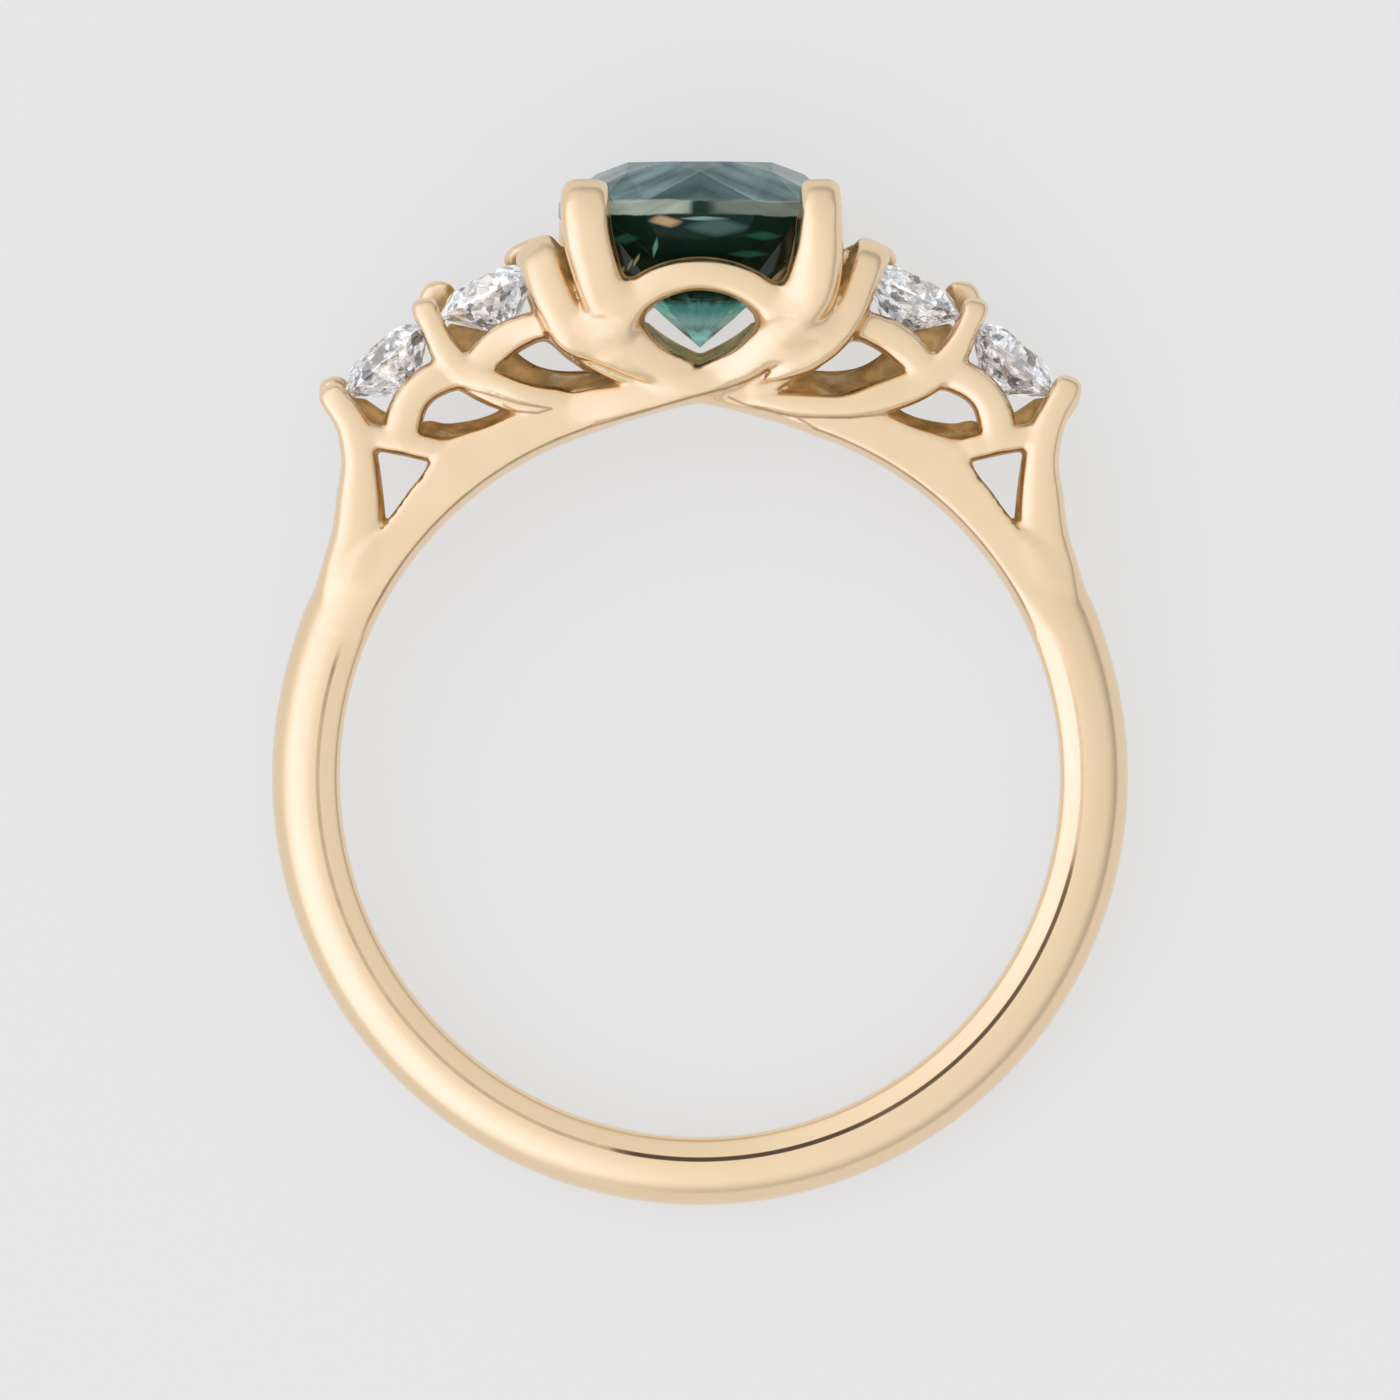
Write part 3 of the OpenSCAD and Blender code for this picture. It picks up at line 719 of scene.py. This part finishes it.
def roomDepths(stone, local):
    # How far points lie outside a stone's crown, girdle and pavilion, with a small gap to the gold
    radius = stone["d"] / 2
    crown, girdle, pavilion = stoneHeights(stone)
    normals = np.array([(crown, radius * facets["tableToGirdle"]), (1, 0), (pavilion, -radius)])
    normals /= np.linalg.norm(normals, axis=1)[:, None]
    starts = [-crown, 0, -crown - girdle]
    out = np.hypot(local[:, 0], local[:, 1])
    depths = [(out - radius) * n[0] + (local[:, 2] - z) * n[1] - mount["stoneGap"]
              for n, z in zip(normals, starts)]
    return np.stack(depths, axis=1), normals


def cutSeats(field):
    # Also gives back a second field in which the stones themselves are solid
    filled = field.copy()
    for stone in stones.values():
        table, axes = stoneAxes(stone)
        middle = table - axes[:, 2] * stone["d"] * 0.3
        box = boxAround(middle, middle, stone["d"] * 0.75)
        points = boxPoints(box)
        local = (points.reshape(-1, 3) - table) @ axes
        room = roomDepths(stone, local)[0].max(axis=1).reshape(points.shape[:3])
        field[box] = np.maximum(field[box], -room)
        filled[box] = np.minimum(filled[box], room)
    return filled


def clearSeats(points):
    # Metal inside a stone's room moves out to the nearest of its crown, girdle and pavilion
    for stone in stones.values():
        table, axes = stoneAxes(stone)
        local = (points - table) @ axes
        depths, normals = roomDepths(stone, local)
        side = depths.argmax(axis=1)
        push = np.maximum(-depths.max(axis=1), 0)
        out = np.maximum(np.hypot(local[:, 0], local[:, 1]), 1e-6)
        local[:, :2] += local[:, :2] / out[:, None] * (push * normals[side, 0])[:, None]
        local[:, 2] += push * normals[side, 1]
        points = local @ axes.T + table
    return points


def addPiece(mesh, name, material, node):
    piece = linked(name, mesh)
    mesh.materials.clear()
    mesh.materials.append(material)
    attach(piece, "root")
    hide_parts(node)


# What darkens the gold with painted shade: narrow grooves, and gold or stones around
shading = {
    "probes": (0.12, 0.24, 0.45),
    "rays": 48,
    "rayTurn": 2.39996,  # the golden angle, which spreads the rays evenly
    "rayStart": 0.1,
    "raySteps": (0.15, 0.4, 0.7, 1.1, 1.6),
    "leastFacing": 0.05,
    "openShade": 0.22,  # what may be hidden from a point that stays bright
    "grooves": 0.8, "shades": 2.0,
    "sparedGrooves": 0.4, "sparedShades": 0.85,  # how much of them the faces are spared
    "face": [(0.5, 0), (0.85, 1)],  # by the normal's z
    "faceFrom": [(0.8, 0), (1.2, 1)],  # by the distance from the middle
    "wall": [(0.45, 1), (0.8, 0)],
    "window": {"middle": 10.25, "wide": 1.75, "high": 1.15, "dark": 0.62},
    "windowEdge": [(0.95, 1), (1.15, 0)],
}


def fieldAt(field, points):
    place = (points - grid.low) / grid.step
    start = np.floor(place).astype(int).clip(0, np.array(grid.shape) - 2)
    share = (place - start).clip(0, 1)
    total = 0
    for corner in np.ndindex(2, 2, 2):
        weight = np.prod(np.where(corner, share, 1 - share), axis=1)
        total = total + weight * field[tuple((start + corner).T)]
    return total


def shelter(field, points, normals):
    # 0 on an open surface, towards 1 down in a narrow groove
    missing = 0
    for reach in shading["probes"]:
        missing = missing + np.maximum(reach - fieldAt(field, points + normals * reach), 0) / reach
    return missing / len(shading["probes"])


def shade(filled, points, normals):
    # The share of the surroundings that gold or stones hide from each point
    hidden, total = 0, 0
    last = np.array(grid.shape) - 1
    for k in range(shading["rays"]):
        height = 1 - (k + 0.5) / (shading["rays"] / 2)
        turn = k * shading["rayTurn"]
        flat = math.sqrt(1 - height * height)
        towards = np.array([flat * math.cos(turn), flat * math.sin(turn), height])
        facing = normals @ towards
        use = np.nonzero(facing > shading["leastFacing"])[0]
        start = points[use] + normals[use] * shading["rayStart"]
        hit = np.zeros(len(use), bool)
        for reach in shading["raySteps"]:
            cell = ((start + towards * reach - grid.low) / grid.step + 0.5).astype(int).clip(0, last)
            hit |= filled[tuple(cell.T)] < 0
        share = np.zeros(len(points))
        share[use] = facing[use] * hit
        hidden = hidden + share
        total = total + np.maximum(facing, 0)
    return hidden / total


def hollows(field, filled, points, normals):
    # Painted shade: 0 on bright gold, towards 1 where it lies in a recess
    facing, off = np.abs(normals[:, 2]), np.abs(points[:, 2])
    front = valueAt(shading["face"], facing) * valueAt(shading["faceFrom"], off)
    shaded = np.maximum(shade(filled, points, normals) - shading["openShade"], 0)
    shaded = shaded * (1 - shading["sparedShades"] * front)
    sheltered = shelter(field, points, normals) * (1 - shading["sparedGrooves"] * front)
    dark = np.minimum(sheltered * shading["grooves"] + shaded * shading["shades"], 1)
    # the walls of the window below the sapphire get painted shade, which makes them matt and darker,
    # or they would mirror its culet
    window = shading["window"]
    apart = np.hypot(points[:, 0] / window["wide"], (points[:, 1] - window["middle"]) / window["high"])
    walls = valueAt(shading["windowEdge"], apart) * valueAt(shading["wall"], facing)
    return np.maximum(dark, window["dark"] * walls)


def buildHead():
    rails = railPatch()
    field = faceField(False, rails)
    melt(field, (whole, faceField(True, rails)[::-1, :, ::-1]), mount["seam"])
    melt(field, wire(bothSides(wires["cradle"])), fillets["cradle"])
    for part in ("midWeb", "seatWall", "clawWall"):
        melt(field, named(part), fillets["walls"])
        melt(field, mirrored(named(part)), fillets["walls"])
    filled = cutSeats(field)
    print("trellis drawn as a field")
    volume = openvdb.FloatGrid()
    volume.background = grid.far
    volume.copyFromArray(field)
    points, quads = volume.convertToQuads(isovalue=0.0)
    head = bpy.data.meshes.new("head")
    head.from_pydata(grid.low + points * grid.step, [], quads.tolist())
    head.update()
    relax(head, 2)
    share = mount["triangles"] / (len(head.polygons) * 2)
    print("trellis surface:", len(head.polygons), "squares, kept", round(share, 2))
    head = decimated(head, min(share, 1))
    points = clearSeats(meshVectors(head, "co"))
    head.vertices.foreach_set("co", points.ravel())
    head.update()
    # painted shade, from how deep each point lies among gold and stones
    addLayer(head, "hollow", hollows(field, filled, points, meshVectors(head, "normal")))
    return head


def buildMount():
    bm = bmesh.new()
    bm.from_mesh(buildHead())
    lined = bm.verts.layers.float.new("line")
    bmesh.ops.recalc_face_normals(bm, faces=bm.faces[:])
    cut = math.radians(mount["headFrom"])
    for side in (1, -1):
        sliced(bm, (0, 0, 0), Vector((-side * math.cos(cut), -math.sin(cut), 0)))
    end = mount["headFrom"] - mount["bandGap"]
    angles = np.linspace(-end, end, mount["bandRings"])
    bandPoints, bandFaces = tube([shankRing(angle) for angle in angles])
    made = [bm.verts.new(p) for p in bandPoints]
    around = len(made) // len(angles)
    for i, angle in enumerate(angles):
        # painted shade along the bevel's line
        for k, share in creasePoints.items():
            made[i * around + k][lined] = share * valueAt(creaseShade, angle)
            made[(i + 1) * around - k][lined] = share * valueAt(creaseShade, -angle)
    for face in bandFaces:
        bm.faces.new([made[v] for v in face])
    for right in (True, False):
        loops = [e for e in bm.edges if e.is_boundary and (e.verts[0].co.x > 0) == right]
        bmesh.ops.bridge_loops(bm, edges=loops)
    bmesh.ops.recalc_face_normals(bm, faces=bm.faces[:])
    spots = [tuple(vertex.co) for vertex in bm.verts]
    bm.transform(ringToRow)
    mesh = bpy.data.meshes.new("mount_gold")
    bm.to_mesh(mesh)
    addLayer(mesh, "spot", spots, "FLOAT_VECTOR")
    openEdges = sum(not e.is_manifold for e in bm.edges)
    print("mount: open or doubled edges", openEdges, "volume mm3", round(bm.calc_volume() * 1e9, 1))
    bm.free()
    mesh.shade_smooth()
    mesh.calc_loop_triangles()
    print("mount triangles:", len(mesh.loop_triangles))
    return mesh


def facetPlanes(stone):
    # Three points on each facet. The table lies at height 0, and the culet is lowest.
    radius = stone["d"] / 2
    crown, girdle, pavilion = stoneHeights(stone)
    deep = -crown - girdle

    def at(r, step, z):
        turn = math.radians(facets["step"] * step)
        return Vector((r * math.cos(turn), r * math.sin(turn), z))

    table, star, low = radius * facets["table"], radius * facets["star"], radius * facets["low"]
    straight = math.cos(math.radians(facets["step"]))
    starZ = -(star * straight - table) * crown / (radius - table)
    lowZ = deep - pavilion * (1 - low * straight / radius)
    tip = Vector((0, 0, deep - pavilion))
    planes = [(Vector((1, 0, 0)), Vector((0, 1, 0)), Vector((0, 0, 0)))]
    for k in range(0, 16, 2):
        planes += [(at(table, k, 0), at(table, k + 2, 0), at(star, k + 1, starZ)),
                   (at(table, k, 0), at(star, k - 1, starZ), at(star, k + 1, starZ)),
                   (tip, at(low, k - 1, lowZ), at(low, k + 1, lowZ))]
        for j in (k - 1, k + 1):
            planes += [(at(star, j, starZ), at(radius, k, -crown), at(radius, j, -crown)),
                       (at(low, j, lowZ), at(radius, k, deep), at(radius, j, deep))]
    return planes, Vector((0, 0, deep))


def cutStone(stone):
    # A round rod that is ground flat facet by facet, as a cutter does it
    radius = stone["d"] / 2
    bm = bmesh.new()
    bmesh.ops.create_cone(bm, cap_ends=True, segments=facets["rod"], radius1=radius, radius2=radius,
                          depth=radius * 4)
    planes, inner = facetPlanes(stone)
    for a, b, c in planes:
        normal = (b - a).cross(c - a).normalized()
        if normal.dot(inner - a) > 0:
            normal = -normal
        made = sliced(bm, a, normal, 1e-6)["geom_cut"]
        edges = [g for g in made if isinstance(g, bmesh.types.BMEdge) and g.is_boundary]
        if edges:
            bmesh.ops.contextual_create(bm, geom=edges)
    bmesh.ops.recalc_face_normals(bm, faces=bm.faces[:])
    levels = [-vertex.co.z / stone["d"] for vertex in bm.verts]
    tilts = [math.degrees(face.normal.angle(Vector((0, 0, 1)))) for face in bm.faces]
    chance = np.random.default_rng(5).uniform(0.86, 1.1, len(tilts))
    sheens = valueAt(stone["sheen"], tilts) * chance
    place = stonePlace(stone)
    for i, face in enumerate(bm.faces):
        normal = place.to_3x3() @ face.normal
        if facets["kites"][0] < tilts[i] < facets["kites"][1]:
            sheens[i] *= valueAt(facets["kiteShine"], abs(normal.x) / math.hypot(normal.x, normal.z))
    spots = [place @ vertex.co for vertex in bm.verts]
    bm.transform(place)
    around = [math.degrees(math.atan2(vertex.co.x, vertex.co.z)) for vertex in bm.verts]
    bm.transform(ringToRow)
    mesh = bpy.data.meshes.new("stone")
    bm.to_mesh(mesh)
    addLayer(mesh, "level", levels)
    addLayer(mesh, "sheen", sheens, domain="FACE")
    addLayer(mesh, "gleam", valueAt(stone["gleam"], around))
    addLayer(mesh, "spot", spots, "FLOAT_VECTOR")
    print("stone: faces", len(bm.faces), "open edges", sum(e.is_boundary for e in bm.edges))
    bm.free()
    return mesh


black = (0, 0, 0)
gold = {
    "colour": (0.93, 0.73, 0.49),
    "worn": (0.9, 0.68, 0.435),
    # painted shade: the colour of the gold deep in recesses
    "recess": (0.58, 0.36, 0.165),
    # painted light: a faint brown glow deep in recesses, standing in for light bounced between the wires
    "recessGlow": (0.09, 0.052, 0.017),
    # painted shade: the dull gold of deep recesses, patchy between these two
    "paintedShadeDark": (0.19, 0.105, 0.034),
    "paintedShadeLight": (0.68, 0.42, 0.16),
    # painted shade: the colours of the painted lines, lighter and at their darkest
    "line": (0.03, 0.018, 0.01),
    "lineLight": (0.22, 0.12, 0.05),
    "roughness": 0.17,
    "rougher": {"clouds": 0.06, "grain": 0.03, "depth": 0.12},  # what each of them adds to it
    "coat": {"Coat Weight": 0.2, "Coat Roughness": 0.15},
    "paintedShade": {"Metallic": 0.4, "Roughness": 0.55},  # the duller gold of the painted shade in deep recesses and along the painted lines
    "bump": {"Strength": 0.05, "Distance": 0.00002},
    "clouds": 420.0, "grain": 5200.0, "patches": 2200.0,  # scales of the noise
}
# Fine lines of painted shade where one wire passes over another, as seen from the front,
# each from left to right
seams = [
    [(-2.6, 7.99), (-1.83, 8.21), (-0.92, 8.48), (0, 8.74), (0.59, 8.885), (1.08, 9.065),
     (1.47, 9.245), (1.75, 9.395)],
    [(0.66, 8.69), (1.0, 8.53), (1.73, 8.345), (2.22, 8.23), (3.44, 8.22), (4.2, 8.29), (4.56, 8.32)],
    [(2.26, 8.197), (2.66, 7.97)],
    [(-5.43, 8.9), (-4.81, 8.753), (-4.18, 8.547), (-3.4, 8.43)],
    [(-4.49, 8.51), (-4.18, 8.354), (-3.71, 8.33), (-3.4, 8.42)],
]
# how wide and how dark the painted shade lines are
seamShade = {"width": 0.05, "darkness": 0.8}
# The painted shade line along the rail's edge: its radius, where it begins, and how fast it fades in
# there
railLine = {"radius": 8.39, "from": (2.5, 3.3), "fade": (8, 1.5)}


def squaredDistance(x, y, points):
    # From a line that is drawn as its height over x, which takes fewer nodes than its segments
    slopes = [(d - b) / (c - a) for (a, b), (c, d) in zip(points, points[1:])]
    on = x.between(points[0][0], points[-1][0])
    height = on.maths("MULTIPLY_ADD", slopes[0], points[0][1] - slopes[0] * points[0][0])
    for (corner, _), before, after in zip(points[1:], slopes, slopes[1:]):
        height = (on - corner).maths("MAXIMUM", 0).maths("MULTIPLY_ADD", after - before, height)
    beside, over = x - on, (y - height) * math.cos(math.atan(sum(slopes) / len(slopes)))
    return beside.maths("MULTIPLY_ADD", beside, over * over)


def paintedSeams(g):
    # Painted shade lines where wires cross and along the rail's edge
    # The back is the front turned half round, so x changes its sign there
    across, up, deep = g.split(g.attribute("spot", 1))
    x = across * deep.maths("SIGN")
    off = abs((x * x + up * up) ** 0.5 - railLine["radius"])
    beyondX = ((abs(x) - railLine["from"][0]) * railLine["fade"][0]).between(0, 1)
    beyondY = ((up - railLine["from"][1]) * railLine["fade"][1]).between(0, 1)
    ink = (1 - off * (1 / seamShade["width"])).between(0, 1) * beyondX * beyondY
    nearest = 1
    for points in seams:
        nearest = squaredDistance(x, up, points).maths("MINIMUM", nearest)
    ink = (1 - nearest ** 0.5 * (1 / seamShade["width"])).between(0, 1).maths("MAXIMUM", ink)
    # only the two faces have these lines, from 0.72 mm off the middle
    return ink * seamShade["darkness"] * (abs(deep) * 5 - 3.6).between(0, 1)


def goldMaterial():
    g = Graph(bpy.data.materials.new("polishedGold"))
    place = g.add("ShaderNodeTexCoord", out=3)
    # painted shade: how deep in a recess each point lies
    depth = g.attribute("hollow").between(0, 1)
    # painted shade lines: the bevel's line and the lines where wires cross
    ink = g.attribute("line").maths("MAXIMUM", paintedSeams(g))
    drawn = ink.between(0, 1)
    clouds = g.noise(place, gold["clouds"], 3.0)
    grain = g.noise(place, gold["grain"], 2.0)
    colour = g.mixColour(clouds, gold["colour"], gold["worn"])
    # painted shade: darker, browner gold in recesses
    colour = g.mixColour(depth * 0.85, colour, gold["recess"])
    more = gold["rougher"]
    roughness = (gold["roughness"] + clouds * more["clouds"] + grain * more["grain"]
                 + depth * more["depth"])
    # painted light: the faint brown glow deep in recesses
    glow = g.mixColour((depth * 1.5 - 0.4).between(0, 1), black, gold["recessGlow"])
    bump = g.add("ShaderNodeBump", {}, {"Height": grain} | gold["bump"])
    both = {"Normal": bump, "Emission Color": glow, "Emission Strength": 1.0}
    bright = g.principled(both | gold["coat"] | {
        "Base Color": colour, "Metallic": 1.0, "Roughness": roughness})
    # painted shade: a dull, patchy brown gold for deep recesses and the painted lines
    patches = (g.noise(place, gold["patches"], 4.0) * 3.2 - 1.15).between(0, 1)
    paintedShade = g.mixColour(patches, gold["paintedShadeDark"], gold["paintedShadeLight"])
    line = g.mixColour((ink - 1).between(0, 1), gold["lineLight"], gold["line"])
    rough = g.principled(both | gold["paintedShade"] | {"Base Color": g.mixColour(drawn, paintedShade, line)})
    # how much of the painted shade shows over the bright gold
    share = (depth * 1.6 - 0.28).between(0, 0.85).maths("MAXIMUM", drawn * 0.95)
    return g.finish(g.mixShader(share, bright, rough))


# The inside and the finish of every stone, with the settings of its painted reflection and painted shade
stoneBody = {
    "wisps": 900.0, "rays": 6.0, "lightStreaks": 2.8,  # scales of the noise
    "wispShift": 0.03, "rayShift": 0.05,  # how far it moves the levels, in diameters
    "cellEdge": 0.03,
    "glintCurve": 1.3,  # 1 is a pointed spot of light, 2 an oval one
    "paintedReflection": {"Metallic": 1.0, "Roughness": 0.03},
    "deep": {"Roughness": 0.08, "IOR": 1.12},
}


def stoneMaterial(name, look):
    g = Graph(bpy.data.materials.new(name))
    place = g.add("ShaderNodeTexCoord", out=3)
    wisps = g.noise(place, stoneBody["wisps"], 3.0)
    across, up, along = g.split(g.attribute("spot", 1))
    outward = g.add("ShaderNodeCombineXYZ", {}, {0: across, 1: along})
    outward = g.add("ShaderNodeVectorMath", {"operation": "NORMALIZE"}, {0: outward})
    rays = g.noise(outward, stoneBody["rays"], 3.0)
    slanted = {0: abs(across) * 0.6 + up * 1.5, 1: across * 0.22}
    lightStreaks = g.noise(g.add("ShaderNodeCombineXYZ", {}, slanted), stoneBody["lightStreaks"], 2.0)
    level = g.attribute("level") + (wisps - 0.5) * stoneBody["wispShift"]
    level = level + (rays - 0.5) * stoneBody["rayShift"] * (level * 8 - 3.2).between(0, 1)
    # painted reflection: how strongly each facet mirrors, in slanted streaks
    sheen = g.attribute("sheen") * ((lightStreaks - 0.5) * 3.6 + 1.0).between(0.3, 2.0)
    cells = {"Vector": place, "Scale": look["cells"]}
    dark, bright, _ = g.split(g.add("ShaderNodeTexVoronoi", {"distance": "MANHATTAN"}, cells, 1))

    def ramp(stops):
        colour = stops[0][1]
        for (low, _), (high, after) in zip(stops, stops[1:]):
            colour = g.mixColour(g.rise(level, low, high), colour, after)
        return colour

    def above(part, limit):
        return g.add("ShaderNodeMapRange", {}, {0: part, 1: limit, 2: limit + stoneBody["cellEdge"]})

    # painted reflections: dark cells over the facets, standing in for dark surroundings mirrored in them
    colour = g.mixColour(above(dark, look["darkFrom"]) * 0.85, ramp(look["colours"]), look["shade"])
    # the culet glows on every side, and the rest where the stone's gleam says so
    lit = (g.attribute("gleam") * (lightStreaks + 0.45).between(0, 1)).maths(
        "MAXIMUM", (level * 20 - 8).between(0, 0.8))
    glow = g.mixColour(lit, black, ramp(look["glow"]))
    # painted glints: bright cells that glow
    if "sparkle" in look:
        glow = g.mixColour(above(bright, look["brightFrom"]), glow, look["sparkle"])
    seen = (abs(along) * 2 - 1).between(0, 1)
    for x, y, wide, high, slant, after in look.get("glints", ()):
        beside = abs((across - x - (up - y) * slant) * (1 / wide)) ** stoneBody["glintCurve"]
        over = abs((up - y) * (1 / high)) ** stoneBody["glintCurve"]
        inside = ((1 - beside - over) * 1.6 + (wisps - 0.5) * 0.8).between(0, 1) * seen
        glow = g.mixColour(inside, glow, after)
    both = {"Emission Color": glow, "Emission Strength": 1.0}
    shader = g.principled(both | {
        "Base Color": colour, "Roughness": wisps * 0.02, "Metallic": look["mirror"],
        "IOR": look["ior"], "Transmission Weight": 1.0, "Specular Tint": look["tint"]})
    # painted shade: a dark, hardly shiny shader mixed in over the girdle and the pavilion
    if "insideShade" in look:
        deep = g.principled(both | stoneBody["deep"] | {"Base Color": look["deep"]})
        shader = g.mixShader(ramp(look["insideShade"]), shader, deep)
    # painted reflection: a teal mirror layer over the facets, as strong as their sheen
    if "paintedReflection" in look:
        paintedReflection = g.principled(stoneBody["paintedReflection"] | {"Base Color": look["paintedReflection"]})
        shader = g.mixShader(sheen * look["paintedReflectionShare"], shader, paintedReflection)
    volume = None
    if "density" in look:
        body = {"Color": look["absorb"], "Density": look["density"]}
        volume = g.add("ShaderNodeVolumeAbsorption", {}, body)
    return g.finish(shader, volume)


print("building the gold")
addPiece(buildMount(), "mount_gold", goldMaterial(), "mount")

# "colours", "glow" and the share of the dark shader, which is how dark the inside shows, run from the
# table down to the culet, by shares of the diameter. "colours" is the teal body, with painted shade that
# makes the pavilion near black and painted light that makes the culet paler; "glow" is painted light,
# and the dark shader is painted shade
sapphireLook = {
    "colours": [(0, (0.16, 0.38, 0.37)), (0.14, (0.1, 0.26, 0.25)),
                (0.2, (0.004, 0.018, 0.013)), (0.455, (0.004, 0.018, 0.013)),
                (0.51, (0.78, 0.95, 0.93))],
    "glow": [(0, (0.0, 0.012, 0.012)), (0.135, (0.0, 0.012, 0.012)),
             (0.145, (0.4, 0.41, 0.33)), (0.187, (0.36, 0.4, 0.33)), (0.195, black),
             (0.48, black), (0.515, (0.05, 0.17, 0.15)), (0.56, (0.18, 0.29, 0.27)),
             (0.61, (0.08, 0.04, 0.04))],
    "insideShade": [(0, black), (0.138, black), (0.146, (0.9, 0.9, 0.9)), (0.18, (0.9, 0.9, 0.9)),
             (0.2, (0.84, 0.84, 0.84)), (0.45, (0.86, 0.86, 0.86)), (0.5, black)],
    # spots of light in the pavilion: x, y, half width, half height, slant, colour
    "glints": [
        (-0.8, 12.68, 0.42, 0.16, -0.9, (0.42, 0.27, 0.13)),
        (0.1, 12.74, 0.62, 0.06, -0.4, (0.2, 0.28, 0.26)),
        (0.38, 12.55, 0.8, 0.24, 0.0, (0.045, 0.085, 0.08)),
        (-1.02, 12.1, 0.07, 0.26, 0.2, (0.1, 0.2, 0.17)),
        (-1.45, 11.82, 0.06, 0.17, 0.5, (0.17, 0.17, 0.06)),
        (-1.6, 11.72, 0.05, 0.16, 0.5, (0.1, 0.12, 0.04)),
        (-1.8, 11.56, 0.08, 0.14, 0.5, (0.2, 0.18, 0.07)),
        (1.45, 12.36, 0.5, 0.12, -0.2, (0.012, 0.055, 0.032)),
        (-1.7, 12.3, 0.35, 0.14, 0.2, (0.008, 0.036, 0.022)),
        (1.1, 11.95, 0.55, 0.1, 0.3, (0.01, 0.042, 0.024)),
        (2.02, 11.68, 0.14, 0.16, 0.4, (0.15, 0.12, 0.035)),
    ],
    # the colour of the painted shade, and the colour and strength of the painted reflection
    "deep": (0.003, 0.018, 0.012), "paintedReflection": (0.6, 0.87, 0.88), "paintedReflectionShare": 0.22,
    "cells": 2600.0, "darkFrom": 0.7, "shade": (0.01, 0.03, 0.025),
    "ior": 1.77, "tint": (0.3, 0.62, 0.6), "mirror": 0.0,
    "absorb": (0.2, 0.7, 0.66), "density": 330.0,
}
diamondLook = {
    "colours": [(0, (0.98, 0.99, 1.0))], "glow": [(0, (0.02, 0.021, 0.022))],
    "sparkle": (0.24, 0.25, 0.26), "brightFrom": 0.66,
    "cells": 4200.0, "darkFrom": 0.74, "shade": (0.02, 0.022, 0.025),
    "ior": 2.42, "tint": (1, 1, 1), "mirror": 0.22,
}
teal = stoneMaterial("tealSapphire", sapphireLook)
icy = stoneMaterial("iceDiamond", diamondLook)
for name, stone in stones.items():
    kind = "sapphire" if name == "sapphire" else "diamond"
    addPiece(cutStone(stone), name + "_cut", teal if kind == "sapphire" else icy, name)

studio = {
    "floor": (0.2, 0.2, 0.2),
    "floorDrop": 0.00002,
    "floorGlow": 0.6,  # a light table, so that the ring throws hardly any shadow
    "overhead": 0.92,
    "horizon": 0.45,
    "left": 0.46,  # how much brighter the left of the studio is
    "right": 0.1,  # and how much darker the right
    "lower": 0.08,
    "corner": 0.6,  # a bright card low at the left
    "brightest": 1.32,
    "cool": 0.8,  # how blue the brightest part is
    "rise": (-0.05, 0.55),  # where the light grows from the horizon to overhead
}


def addFloor():
    g = Graph(bpy.data.materials.new("paleFloor"))
    place = g.add("ShaderNodeTexCoord", out=3)
    soft = g.noise(place, 30.0, 2.0)
    paler = tuple(part * 1.02 for part in studio["floor"])
    shader = g.principled({
        "Base Color": g.mixColour(soft, studio["floor"], paler), "Roughness": 0.9,
        "Specular IOR Level": 0.1,
        "Emission Color": (1, 1, 1), "Emission Strength": studio["floorGlow"]})
    bm = bmesh.new()
    bmesh.ops.create_grid(bm, x_segments=1, y_segments=1, size=1.5)
    mesh = bpy.data.meshes.new("floor")
    bm.to_mesh(mesh)
    bm.free()
    mesh.materials.append(g.finish(shader))
    floor = linked("floor", mesh)
    floor.location.z = -studio["floorDrop"]


def addStudio():
    # A white tent: bright overhead and at the left, greyer at the right and low down
    world = bpy.data.worlds.new("studio")
    g = Graph(world)
    across, along, up = g.split(g.add("ShaderNodeTexCoord"))
    level = g.rise(up, *studio["rise"]) * (studio["overhead"] - studio["horizon"]) + studio["horizon"]
    leftwards = (across * -1).between(0, 1)
    sides = leftwards * studio["left"] - across.between(0, 1) * studio["right"]
    corner = leftwards * (along * -1).between(0, 1)
    level = level + sides - along * studio["lower"] + corner * studio["corner"]
    level = level.between(0, studio["brightest"])
    blue = level + (level - 1).between(0, 1) * studio["cool"]
    colour = g.add("ShaderNodeCombineColor", {}, {0: level, 1: level, 2: blue})
    g.finish(g.add("ShaderNodeBackground", {}, {"Color": colour}))
    bpy.context.scene.world = world
    bpy.context.scene.view_settings.view_transform = "Standard"


addFloor()
addStudio()
print("studio ready")
